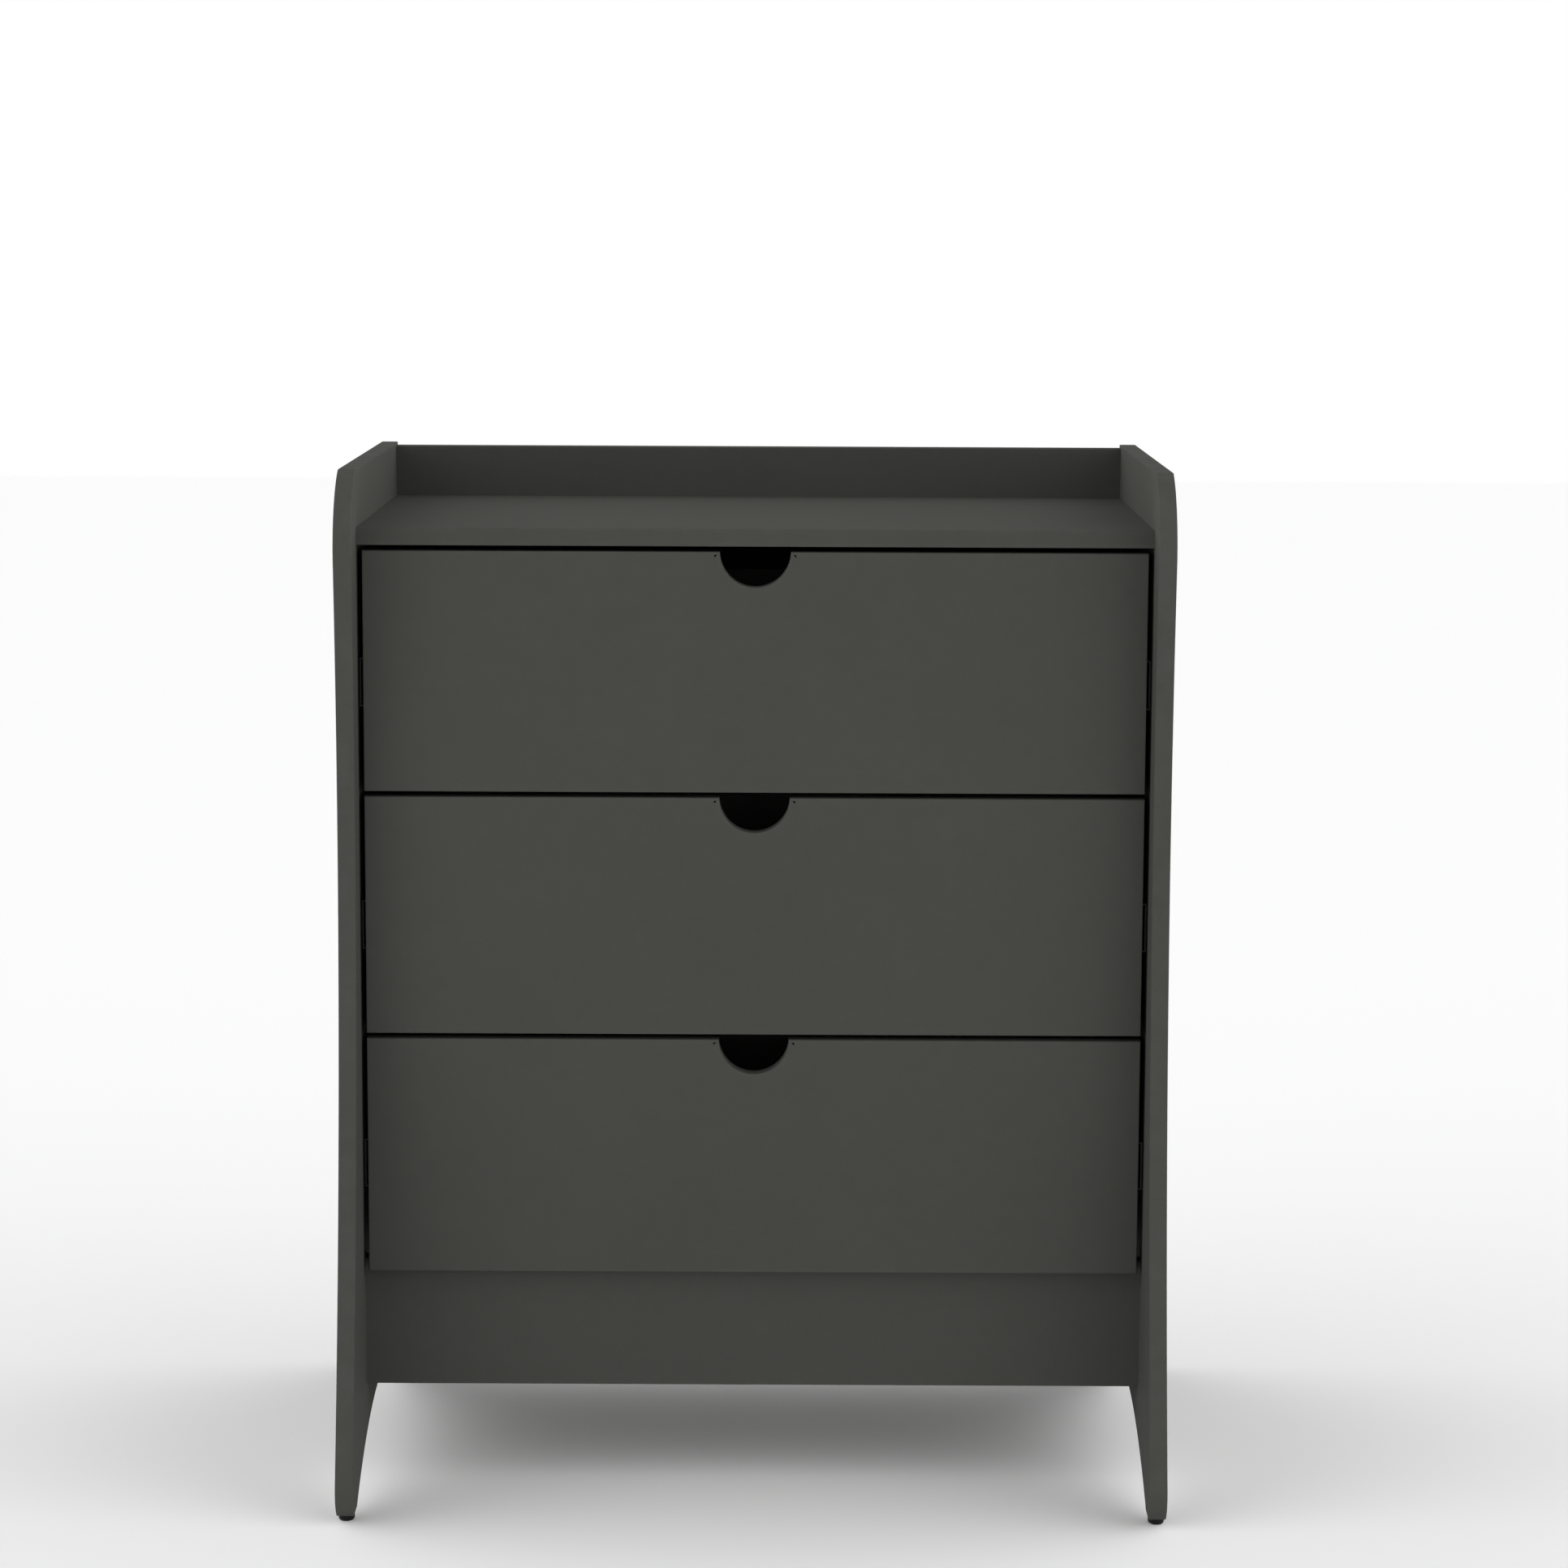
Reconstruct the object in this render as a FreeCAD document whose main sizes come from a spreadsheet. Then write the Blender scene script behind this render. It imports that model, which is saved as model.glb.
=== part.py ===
import FreeCAD, Part
import math
import os
import Sketcher

# A tall bedside chest with three handle-less drawers between two shaped side panels that are also its legs.
# Frame: origin on the floor under the middle, X to the right, -Y to the front, Z up, millimetres.
# Drawer parts are drawn in a drawer's own frame, whose Z starts at the lower edge of that drawer's front.

DIMENSIONS = {
    # carcass
    "cabinet_width": 750,
    "cabinet_depth": 480,
    "cabinet_height": 947,
    "board": 16,
    "edge_round": 0.8,
    # outline of a side panel, seen from the side
    "shoulder_radius": 81,
    "shoulder_level": 874,
    "corner_round": 12,
    "curve_radius": 2390,
    "curve_level": 634,
    "toe_radius": 30,
    "toe_level": 30.5,
    "arch_radius": 390,
    "arch_crown": 65,
    # boards between the side panels
    "top_level": 895,
    "face_setback": 108,
    "rail_top": 944,
    "rail_height": 140,
    "apron_low": 94,
    "apron_high": 214,
    "apron_clearance": 1,
    "stretcher_high": 190,
    "wall_hole_spacing": 500,
    "wall_hole_level": 850,
    "wall_hole_diameter": 5,
    # thin fibreboard and the grooves that hold it
    "sheet_thickness": 3,
    "groove_width": 3.4,
    "groove_depth": 6,
    "groove_play": 0.5,
    # fittings of the carcass
    "cam_diameter": 15,
    "cam_depth": 12.5,
    "cam_backset": 24,
    "cam_bore": 7.2,
    "bolt_diameter": 5,
    "bolt_depth": 11,
    "dowel_diameter": 8,
    "dowel_short": 10,
    "dowel_long": 20,
    "drill_play": 0.5,
    "top_bolt_front": 92,
    "top_bolt_rear": 180,
    "top_dowel_front": 40,
    "top_dowel_rear": 130,
    "rail_dowel_spacing": 220,
    "rail_bolt_low": 840,
    "rail_bolt_high": 920,
    "apron_bolt_low": 120,
    "apron_bolt_high": 190,
    "apron_dowel": 155,
    "stretcher_bolt": 142,
    "stretcher_dowel_low": 110,
    "stretcher_dowel_high": 172,
    # glides
    "glide_height": 7,
    "glide_diameter": 15,
    "glide_front": 217,
    "glide_rear": 222,
    "stem_diameter": 5,
    "stem_start": 3,
    "stem_end": 32,
    # drawer fronts
    "first_front_level": 207,
    "front_height": 219,
    "front_gap": 5,
    "cutout_radius": 32,
    # drawer boxes
    "box_board": 12,
    "box_length": 310,
    "box_height": 150,
    "box_lift": 22,
    "bottom_lift": 12,
    "box_cam_diameter": 12,
    "box_cam_depth": 9.5,
    "box_cam_bore": 5.6,
    "box_bolt_low": 30,
    "box_bolt_high": 120,
    "back_screw_low": 25,
    "back_screw_high": 125,
    "back_screw_length": 40,
    "back_screw_diameter": 4,
    "back_screw_head": 7.6,
    # telescopic slides
    "slide_gap": 13,
    "slide_length": 300,
    "slide_start": 4,
    "slide_level": 97,
    "slide_screw_front": 75,
    "slide_screw_rear": 150,
    "slide_screw_diameter": 3.5,
    "slide_screw_grip": 12,
    "box_screw_diameter": 3,
    "box_screw_grip": 8,
    "web_thickness": 1.2,
    "middle_thickness": 1,
    "outer_half": 22.5,
    "outer_reach": 9.5,
    "outer_lip": 2.3,
    "middle_half": 18.2,
    "middle_near": 3.2,
    "middle_far": 11,
    "inner_half": 14,
    "inner_near": 5.5,
    "access_hole": 10,
    # ball cages
    "ball_line": 6.8,
    "ball_diameter": 2.9,
    "ball_pitch": 24,
    "cage_length": 144,
    "cage_width": 3,
    "cage_thickness": 0.8,
    "cage_play": 4,
}

DRAWERS = (1, 2, 3)
BALLS_PER_CAGE = 6

# Places that several parts share, as expressions on the sheet.
HALF_WIDTH = "dims.cabinet_width / 2"
INNER = "(dims.cabinet_width / 2 - dims.board)"
REAR = "dims.cabinet_depth / 2"
FACE = "(dims.cabinet_depth / 2 - dims.face_setback)"
FRONT_BACK = f"({FACE} - dims.board)"
TOP_UNDER = "(dims.top_level - dims.board)"
TOP_MIDDLE = "(dims.top_level - dims.board / 2)"
RAIL_FRONT = "(dims.cabinet_depth / 2 - dims.board)"
RAIL_MIDDLE = "(dims.cabinet_depth / 2 - dims.board / 2)"
RAIL_LOW = "(dims.rail_top - dims.rail_height)"
APRON_BACK = f"({FRONT_BACK} - dims.apron_clearance - dims.board)"
APRON_FRONT = f"({FRONT_BACK} - dims.apron_clearance)"
APRON_MIDDLE = f"({FRONT_BACK} - dims.apron_clearance - dims.board / 2)"
PANEL_FRONT = f"({RAIL_MIDDLE} - dims.sheet_thickness / 2)"
PANEL_REAR = f"({RAIL_MIDDLE} + dims.sheet_thickness / 2)"
GROOVE_FRONT = f"({RAIL_MIDDLE} - dims.groove_width / 2)"
GROOVE_REAR = f"({RAIL_MIDDLE} + dims.groove_width / 2)"
SHEET_GRIP = "(dims.groove_depth - dims.groove_play)"
CAM_X = f"({INNER} - dims.cam_backset)"
BOX_OUTER = f"({INNER} - dims.slide_gap)"
BOX_INNER = f"({INNER} - dims.slide_gap - dims.box_board)"
BOX_MIDDLE = f"({INNER} - dims.slide_gap - dims.box_board / 2)"
BOX_END = f"(dims.box_length - {FRONT_BACK})"
BACK_FRONT = f"(dims.box_length - {FRONT_BACK} - dims.box_board)"
BACK_MIDDLE = f"(dims.box_length - {FRONT_BACK} - dims.box_board / 2)"
BOX_TOP = "(dims.box_lift + dims.box_height)"
BOTTOM_LEVEL = "(dims.box_lift + dims.bottom_lift)"
BOTTOM_MIDDLE = "(dims.box_lift + dims.bottom_lift + dims.groove_width / 2)"
SLIDE_FRONT = f"({FRONT_BACK} - dims.slide_start)"
SLIDE_REAR = f"(dims.slide_length - {SLIDE_FRONT})"
DRAWER_PITCH = "(dims.front_height + dims.front_gap)"
SLIDE_SCREWS = ("-dims.slide_screw_front", "dims.slide_screw_rear")
BOX_BOLTS = [f"dims.box_lift + dims.{name}" for name in ("box_bolt_low", "box_bolt_high")]
BACK_SCREWS = [f"dims.box_lift + dims.{name}" for name in ("back_screw_low", "back_screw_high")]

# Plain sizes of the small turned parts and their cross recesses, millimetres.
CROSS_ARM = 3.2
CROSS_HALF = 0.8
CAM_CROSS_DEPTH = 2
SCREW_CROSS_SCALE = 0.6
SCREW_HEAD_HEIGHT = 1.5
SCREW_HEAD_RADIUS = 3.4
SCREW_HEAD_BEVEL = 0.7
SCREW_TIP_RADIUS = 0.3
SCREW_TIP_LENGTH = 2
BACK_SCREW_CROSS_SCALE = 0.7
BACK_SCREW_CROSS_DEPTH = 1.4
BACK_SCREW_TIP_LENGTH = 4
DOWEL_BEVEL = 1
BOLT_TIP_BEVEL = 0.8
BOLT_TIP_LENGTH = 1.5
BOLT_PLAY = 0.2
BOLT_COLLAR_HEIGHT = 1.4
BOLT_SHAFT_RADIUS = 1.9
BOLT_NECK_RADIUS = 1.3

# Where a bolt's shaft, neck and head end, measured back from the middle of its cam, millimetres.
BOLT_SHAFT_END = 6
BOLT_NECK_START = 5.2
BOLT_NECK_END = 3
BOLT_HEAD_START = 2.4
BOLT_HEAD_END = 0.4

# For each axis: the origin plane across it, and the side of the axis that the plane's normal points to.
PLANES = {"X": ("YZ_Plane", "+"), "Y": ("XZ_Plane", "-"), "Z": ("XY_Plane", "+")}
VERTICAL_AXIS = -2
HORIZONTAL_AXIS = -1
START = 1
END = 2
CENTRE = 3

doc = FreeCAD.newDocument("bedside_chest")
subparts = []


def minus(expression):
    return f"-({expression})"


def size(name):
    """The number in the sheet's cell of that name."""
    return float(doc.dims.get(name))


def vector(across, up):
    return FreeCAD.Vector(across, up, 0)


def make_sheet():
    sheet = doc.addObject("Spreadsheet::Sheet", "dims")
    for row, (name, value) in enumerate(DIMENSIONS.items(), start=1):
        sheet.set(f"A{row}", name)
        sheet.set(f"B{row}", str(value))
        sheet.setAlias(f"B{row}", name)
    doc.recompute()


# ---- sketches and features -------------------------------------------------------------------------------

def new_body(label, level=None, kept=True):
    """A body of its own; level lifts it, as an expression, from its drawer's frame to the floor's."""
    body = doc.addObject("PartDesign::Body", label)
    body.Label = label
    if level:
        body.setExpression("Placement.Base.z", level)
    if kept:
        subparts.append(body)
    return body


def sketch_on(body, axis, position):
    """A sketch on the plane across the axis at a position on it."""
    role, side = PLANES[axis]
    sketch = body.newObject("Sketcher::SketchObject", body.Label + "_sketch")
    plane = next(item for item in body.Origin.OriginFeatures if item.Role == role)
    sketch.AttachmentSupport = (plane, "")
    sketch.MapMode = "FlatFace"
    sketch.setExpression("AttachmentOffset.Base.z", position if side == "+" else minus(position))
    return sketch


def relate(sketch, kind, *terms):
    return sketch.addConstraint(Sketcher.Constraint(kind, *terms))


def hold(sketch, curve, point, across=None, up=None):
    """Hold a point of a curve at a place given by one or two expressions on the sheet."""
    now = sketch.getPoint(curve, point)
    for kind, axis, value, place in (
            ("DistanceX", VERTICAL_AXIS, now.x, across), ("DistanceY", HORIZONTAL_AXIS, now.y, up)):
        if place == "0":
            relate(sketch, "PointOnObject", curve, point, axis)
        elif place is not None:
            number = relate(sketch, kind, -1, START, curve, point, value)
            sketch.setExpression(f"Constraints[{number}]", place)


def hold_radius(sketch, curve, radius):
    """Bind the radius of a circle or an arc to an expression on the sheet."""
    number = relate(sketch, "Radius", curve, sketch.Geometry[curve].Radius)
    sketch.setExpression(f"Constraints[{number}]", radius)


def draw_polygon(sketch, corners):
    """A closed outline of straight edges, each corner held by its two expressions."""
    count = len(corners)
    turns = [2 * math.pi * index / count for index in range(count)]
    starts = [vector(math.cos(turn), math.sin(turn)) for turn in turns]
    for index in range(count):
        sketch.addGeometry(Part.LineSegment(starts[index], starts[(index + 1) % count]))
    for index, (across, up) in enumerate(corners):
        relate(sketch, "Coincident", index, END, (index + 1) % count, START)
        hold(sketch, index, START, across, up)


def draw_rectangle(sketch, left, right, low, high):
    draw_polygon(sketch, [(left, low), (right, low), (right, high), (left, high)])


def draw_circles(sketch, centres, diameter):
    for index, (across, up) in enumerate(centres):
        circle = sketch.addGeometry(Part.Circle(vector(4 * index + 1, 1), FreeCAD.Vector(0, 0, 1), 1))
        hold_radius(sketch, circle, f"{diameter} / 2")
        hold(sketch, circle, CENTRE, across, up)


def draw_arc(sketch, centre, radius, start, end):
    """An arc that runs anticlockwise between two angles in degrees; returns its number."""
    circle = Part.Circle(vector(*centre), FreeCAD.Vector(0, 0, 1), radius)
    return sketch.addGeometry(Part.ArcOfCircle(circle, math.radians(start), math.radians(end)))


def pad(body, sketch, length, into):
    """Pad the sketch towards a signed axis such as +X."""
    feature = body.newObject("PartDesign::Pad", body.Label + "_pad")
    feature.Profile = sketch
    feature.setExpression("Length", length)
    feature.Reversed = PLANES[into[1]][1] != into[0]
    doc.recompute()
    return feature


def pocket(body, sketch, depth, into):
    """Cut the sketch into the solid towards a signed axis, and make sure that it removes material."""
    before = body.Shape.Volume
    feature = body.newObject("PartDesign::Pocket", body.Label + "_pocket")
    feature.Profile = sketch
    feature.setExpression("Length", depth)
    feature.Reversed = PLANES[into[1]][1] == into[0]
    doc.recompute()
    if feature.Shape.Volume >= before:
        raise RuntimeError(f"{feature.Label} removes nothing")
    return feature


def drill(body, axis, position, into, centres, diameter, depth):
    sketch = sketch_on(body, axis, position)
    draw_circles(sketch, centres, diameter)
    pocket(body, sketch, depth, into + axis)


def groove(body, axis, position, into, left, right, low, high):
    sketch = sketch_on(body, axis, position)
    draw_rectangle(sketch, left, right, low, high)
    pocket(body, sketch, "dims.groove_depth", into + axis)


def revolve(body, corners):
    """A solid of revolution about Z from corners given as radius and height."""
    sketch = sketch_on(body, "Y", "0")
    draw_polygon(sketch, corners)
    feature = body.newObject("PartDesign::Revolution", body.Label + "_turned")
    feature.Profile = sketch
    feature.ReferenceAxis = (sketch, ["V_Axis"])
    feature.Angle = 360
    doc.recompute()
    return feature


def fillet(body, chosen, radius):
    """Round the edges of the body's last feature for which chosen(edge) is true."""
    base = body.Tip
    names = [f"Edge{number}" for number, edge in enumerate(base.Shape.Edges, start=1) if chosen(edge)]
    feature = body.newObject("PartDesign::Fillet", body.Label + "_round")
    feature.Base = (base, names)
    feature.setExpression("Radius", radius)
    doc.recompute()
    return feature


def lies_at(edge, axis, places):
    """Whether all of the edge lies in one of the planes across the axis (0, 1, 2 for X, Y, Z)."""
    points = edge.discretize(Number=3)
    return any(all(abs(point[axis] - place) < 0.01 for point in points) for place in places)


def make_board(label, low, high, level=None):
    """A rectangular board between two corners, each given as three expressions."""
    body = new_body(label, level)
    sketch = sketch_on(body, "Z", low[2])
    draw_rectangle(sketch, low[0], high[0], low[1], high[1])
    pad(body, sketch, f"{high[2]} - ({low[2]})", "+Z")
    return body


def make_mirrored(source, label, kept=True):
    """The same part on the other side of the middle."""
    twin = doc.addObject("Part::Mirroring", label)
    twin.Label = label
    twin.Source = source
    twin.Normal = FreeCAD.Vector(1, 0, 0)
    doc.recompute()
    if kept:
        subparts.append(twin)
    return twin


def make_group(label, members, level=None):
    """Several separate solids of one kind as one sub-part."""
    group = doc.addObject("Part::Compound", label)
    group.Label = label
    group.Links = members
    if level:
        group.setExpression("Placement.Base.z", level)
    doc.recompute()
    subparts.append(group)


def copy_at(pattern, place, normal, opening=None):
    """A copy of a pattern whose Z points along normal and X, if given, along opening."""
    link = doc.addObject("App::Link", pattern.Label + "_copy")
    link.LinkedObject = pattern
    if opening:
        link.Placement.Rotation = FreeCAD.Rotation(opening, FreeCAD.Vector(), normal, "ZXY")
    else:
        link.Placement.Rotation = FreeCAD.Rotation(FreeCAD.Vector(0, 0, 1), normal)
    for axis, expression in zip("xyz", place):
        link.setExpression(f"Placement.Base.{axis}", expression)
    return link


# ---- the carcass -----------------------------------------------------------------------------------------

# Each board end is held by cams, whose bolts stand in the side panels: place in the side view, then the
# axis and side of the face that the cam is let into, and that face's position.
CARCASS_BOLTS = [
    ("-dims.top_bolt_front", TOP_MIDDLE, "Z", "-", TOP_UNDER),
    ("dims.top_bolt_rear", TOP_MIDDLE, "Z", "-", TOP_UNDER),
    (RAIL_MIDDLE, "dims.rail_bolt_low", "Y", "+", REAR),
    (RAIL_MIDDLE, "dims.rail_bolt_high", "Y", "+", REAR),
    (minus(APRON_MIDDLE), "dims.apron_bolt_low", "Y", "+", minus(APRON_BACK)),
    (minus(APRON_MIDDLE), "dims.apron_bolt_high", "Y", "+", minus(APRON_BACK)),
    (RAIL_MIDDLE, "dims.stretcher_bolt", "Y", "+", REAR),
]
CARCASS_DOWELS = [
    ("-dims.top_dowel_front", TOP_MIDDLE),
    ("dims.top_dowel_rear", TOP_MIDDLE),
    (minus(APRON_MIDDLE), "dims.apron_dowel"),
    (RAIL_MIDDLE, "dims.stretcher_dowel_low"),
    (RAIL_MIDDLE, "dims.stretcher_dowel_high"),
]
TOP_BOLTS, RAIL_BOLTS, APRON_BOLTS, STRETCHER_BOLTS = (
    CARCASS_BOLTS[:2], CARCASS_BOLTS[2:4], CARCASS_BOLTS[4:6], CARCASS_BOLTS[6:])
TOP_DOWELS, APRON_DOWELS, STRETCHER_DOWELS = CARCASS_DOWELS[:2], CARCASS_DOWELS[2:3], CARCASS_DOWELS[3:]


def drawer_level(number):
    return f"dims.first_front_level + {number - 1} * {DRAWER_PITCH}"


def draw_side_outline(sketch):
    """
    Straight back and top; in front a round shoulder, one long hollow curve and a round toe, each arc tangent
    to the next; underneath a shallow arch between the two feet.
    """
    rear = size("cabinet_depth") / 2
    foot = size("glide_height")
    top = size("cabinet_height")
    toe = (size("toe_radius") - rear, size("toe_level"))
    reach = size("curve_radius") + size("toe_radius")
    drop = size("curve_level") - toe[1]
    curve = (toe[0] - math.sqrt(reach ** 2 - drop ** 2), size("curve_level"))
    reach_up = size("curve_radius") + size("shoulder_radius")
    rise = size("shoulder_level") - curve[1]
    shoulder = (curve[0] + math.sqrt(reach_up ** 2 - rise ** 2), size("shoulder_level"))
    arch = (0, size("arch_crown") - size("arch_radius"))

    toe_turn = math.degrees(math.asin(drop / reach))
    shoulder_turn = math.degrees(math.asin(rise / reach_up))
    corner_turn = math.degrees(math.asin((top - shoulder[1]) / size("shoulder_radius")))
    sole_turn = math.degrees(math.asin((toe[1] - foot) / size("toe_radius")))
    heel_turn = math.degrees(math.asin((foot - arch[1]) / size("arch_radius")))
    corner = shoulder[0] - math.sqrt(size("shoulder_radius") ** 2 - (top - shoulder[1]) ** 2)
    sole = toe[0] - math.sqrt(size("toe_radius") ** 2 - (toe[1] - foot) ** 2)
    heel = math.sqrt(size("arch_radius") ** 2 - (foot - arch[1]) ** 2)

    back = sketch.addGeometry(Part.LineSegment(vector(rear, foot), vector(rear, top)))
    upper = sketch.addGeometry(Part.LineSegment(vector(rear, top), vector(corner, top)))
    shoulder_arc = draw_arc(sketch, shoulder, size("shoulder_radius"), 180 - corner_turn, 180 + shoulder_turn)
    curve_arc = draw_arc(sketch, curve, size("curve_radius"), -toe_turn, shoulder_turn)
    toe_arc = draw_arc(sketch, toe, size("toe_radius"), 180 - toe_turn, 180 + sole_turn)
    front_foot = sketch.addGeometry(Part.LineSegment(vector(sole, foot), vector(-heel, foot)))
    arch_arc = draw_arc(sketch, arch, size("arch_radius"), heel_turn, 180 - heel_turn)
    rear_foot = sketch.addGeometry(Part.LineSegment(vector(heel, foot), vector(rear, foot)))

    relate(sketch, "Coincident", back, END, upper, START)
    relate(sketch, "Coincident", upper, END, shoulder_arc, START)
    relate(sketch, "Tangent", shoulder_arc, END, curve_arc, END)
    relate(sketch, "Tangent", curve_arc, START, toe_arc, START)
    relate(sketch, "Coincident", toe_arc, END, front_foot, START)
    relate(sketch, "Coincident", front_foot, END, arch_arc, END)
    relate(sketch, "Coincident", arch_arc, START, rear_foot, START)
    relate(sketch, "Coincident", rear_foot, END, back, START)
    relate(sketch, "Vertical", back)
    for line in (upper, front_foot, rear_foot):
        relate(sketch, "Horizontal", line)
    for arc, name in ((shoulder_arc, "shoulder"), (curve_arc, "curve"), (toe_arc, "toe")):
        hold_radius(sketch, arc, f"dims.{name}_radius")
        hold(sketch, arc, CENTRE, up=f"dims.{name}_level")
    hold(sketch, toe_arc, CENTRE, across=f"dims.toe_radius - {REAR}")
    hold_radius(sketch, arch_arc, "dims.arch_radius")
    hold(sketch, arch_arc, CENTRE, "0", "dims.arch_crown - dims.arch_radius")
    hold(sketch, back, START, REAR, "dims.glide_height")
    hold(sketch, back, END, up="dims.cabinet_height")
    hold(sketch, front_foot, START, up="dims.glide_height")


def make_side_panels():
    inside = minus(INNER)
    rear_groove = (GROOVE_FRONT, GROOVE_REAR, "dims.stretcher_high - dims.groove_depth",
                   f"{RAIL_LOW} + dims.groove_depth")
    left = new_body("side_panel_left")
    sketch = sketch_on(left, "X", minus(HALF_WIDTH))
    draw_side_outline(sketch)
    pad(left, sketch, "dims.board", "+X")

    top = size("cabinet_height")
    outer, inner = -size("cabinet_width") / 2, size("board") - size("cabinet_width") / 2
    fillet(left, lambda edge: is_front_corner(edge, top), "dims.corner_round")
    fillet(left, lambda edge: lies_at(edge, 0, (outer, inner)), "dims.edge_round")
    groove(left, "X", inside, "-", *rear_groove)
    bolts = [(place[0], place[1]) for place in CARCASS_BOLTS]
    drill(left, "X", inside, "-", bolts, "dims.bolt_diameter", "dims.bolt_depth")
    drill(left, "X", inside, "-", CARCASS_DOWELS, "dims.dowel_diameter", "dims.dowel_short + dims.drill_play")
    screws = [(along, f"{drawer_level(number)} + dims.slide_level")
              for number in DRAWERS for along in SLIDE_SCREWS]
    drill(left, "X", inside, "-", screws, "dims.slide_screw_diameter",
          "dims.slide_screw_grip + dims.drill_play")
    stems = [(f"dims.board / 2 - {HALF_WIDTH}", place) for place in ("-dims.glide_front", "dims.glide_rear")]
    drill(left, "Z", "dims.glide_height", "+", stems, "dims.stem_diameter",
          "dims.stem_end - dims.glide_height + dims.drill_play")
    make_mirrored(left, "side_panel_right")


def is_front_corner(edge, top):
    """The upright corner line between the top edge and the shoulder of a side panel."""
    return lies_at(edge, 2, (top,)) and edge.Length < size("board") + 0.1 and edge.CenterOfMass.y < 0


def bore_ends(body, bolts, dowels):
    """Bores for bolts and dowels in both ends of a board that stands between the side panels."""
    for side, into in ((minus(INNER), "+"), (INNER, "-")):
        drill(body, "X", side, into, [(place[0], place[1]) for place in bolts], "dims.cam_bore",
              "dims.cam_backset")
        if dowels:
            drill(body, "X", side, into, dowels, "dims.dowel_diameter", "dims.dowel_long + dims.drill_play")


def bore_cams(body, bolts):
    """Blind bores for the cams, in the face that the bolts' list names."""
    axis, side, face = bolts[0][2:]
    along = 0 if axis == "Z" else 1
    centres = [(cam_x, place[along]) for place in bolts for cam_x in (minus(CAM_X), CAM_X)]
    drill(body, axis, face, "+" if side == "-" else "-", centres, "dims.cam_diameter", "dims.cam_depth")


def make_top_board():
    body = make_board("top_board", (minus(INNER), minus(FACE), TOP_UNDER),
                      (INNER, RAIL_FRONT, "dims.top_level"))
    front = size("face_setback") - size("cabinet_depth") / 2
    fillet(body, lambda edge: lies_at(edge, 1, (front,)) and edge.Length > size("board") + 1,
           "dims.edge_round")
    bore_ends(body, TOP_BOLTS, TOP_DOWELS)
    bore_cams(body, TOP_BOLTS)
    drill(body, "Y", RAIL_FRONT, "-", rail_dowels(), "dims.dowel_diameter",
          "dims.dowel_long + dims.drill_play")


def rail_dowels():
    """Where the dowels between the top board and the back rail stand, seen from the front."""
    return [(f"{step} * dims.rail_dowel_spacing", TOP_MIDDLE) for step in (-1, 0, 1)]


def make_back_rail():
    body = make_board("back_rail", (minus(INNER), RAIL_FRONT, RAIL_LOW), (INNER, REAR, "dims.rail_top"))
    top = size("rail_top")
    fillet(body, lambda edge: lies_at(edge, 2, (top,)) and edge.Length > size("board") + 1,
           "dims.edge_round")
    bore_ends(body, RAIL_BOLTS, [])
    bore_cams(body, RAIL_BOLTS)
    drill(body, "Y", RAIL_FRONT, "+", rail_dowels(), "dims.dowel_diameter",
          "dims.dowel_short + dims.drill_play")
    groove(body, "Z", RAIL_LOW, "+", minus(INNER), INNER, GROOVE_FRONT, GROOVE_REAR)
    wall_holes = [(f"{side} * dims.wall_hole_spacing / 2", "dims.wall_hole_level") for side in (-1, 1)]
    drill(body, "Y", REAR, "-", wall_holes, "dims.wall_hole_diameter", "dims.board")


def make_apron():
    body = make_board("apron", (minus(INNER), minus(APRON_FRONT), "dims.apron_low"),
                      (INNER, minus(APRON_BACK), "dims.apron_high"))
    low, high = size("apron_low"), size("apron_high")
    fillet(body, lambda edge: lies_at(edge, 2, (low, high)) and edge.Length > size("board") + 1,
           "dims.edge_round")
    bore_ends(body, APRON_BOLTS, APRON_DOWELS)
    bore_cams(body, APRON_BOLTS)


def make_rear_stretcher():
    body = make_board("rear_stretcher", (minus(INNER), RAIL_FRONT, "dims.apron_low"),
                      (INNER, REAR, "dims.stretcher_high"))
    low = size("apron_low")
    fillet(body, lambda edge: lies_at(edge, 2, (low,)) and edge.Length > size("board") + 1,
           "dims.edge_round")
    bore_ends(body, STRETCHER_BOLTS, STRETCHER_DOWELS)
    bore_cams(body, STRETCHER_BOLTS)
    groove(body, "Z", "dims.stretcher_high", "-", minus(INNER), INNER, GROOVE_FRONT, GROOVE_REAR)


def make_back_panel():
    edge = f"{INNER} + {SHEET_GRIP}"
    make_board("back_panel", (minus(edge), PANEL_FRONT, f"dims.stretcher_high - {SHEET_GRIP}"),
               (edge, PANEL_REAR, f"{RAIL_LOW} + {SHEET_GRIP}"))


# ---- fittings --------------------------------------------------------------------------------------------

def cut_cross(body, depth, scale=1.0):
    """A cross recess for a screwdriver in the face at Z = 0."""
    arm, half = f"{CROSS_ARM * scale}", f"{CROSS_HALF * scale}"
    back_arm, back_half = "-" + arm, "-" + half
    sketch = sketch_on(body, "Z", "0")
    draw_polygon(sketch, [
        (arm, back_half), (arm, half), (half, half), (half, arm), (back_half, arm), (back_half, half),
        (back_arm, half), (back_arm, back_half), (back_half, back_half), (back_half, back_arm),
        (half, back_arm), (half, back_half)])
    pocket(body, sketch, depth, "-Z")


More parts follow.
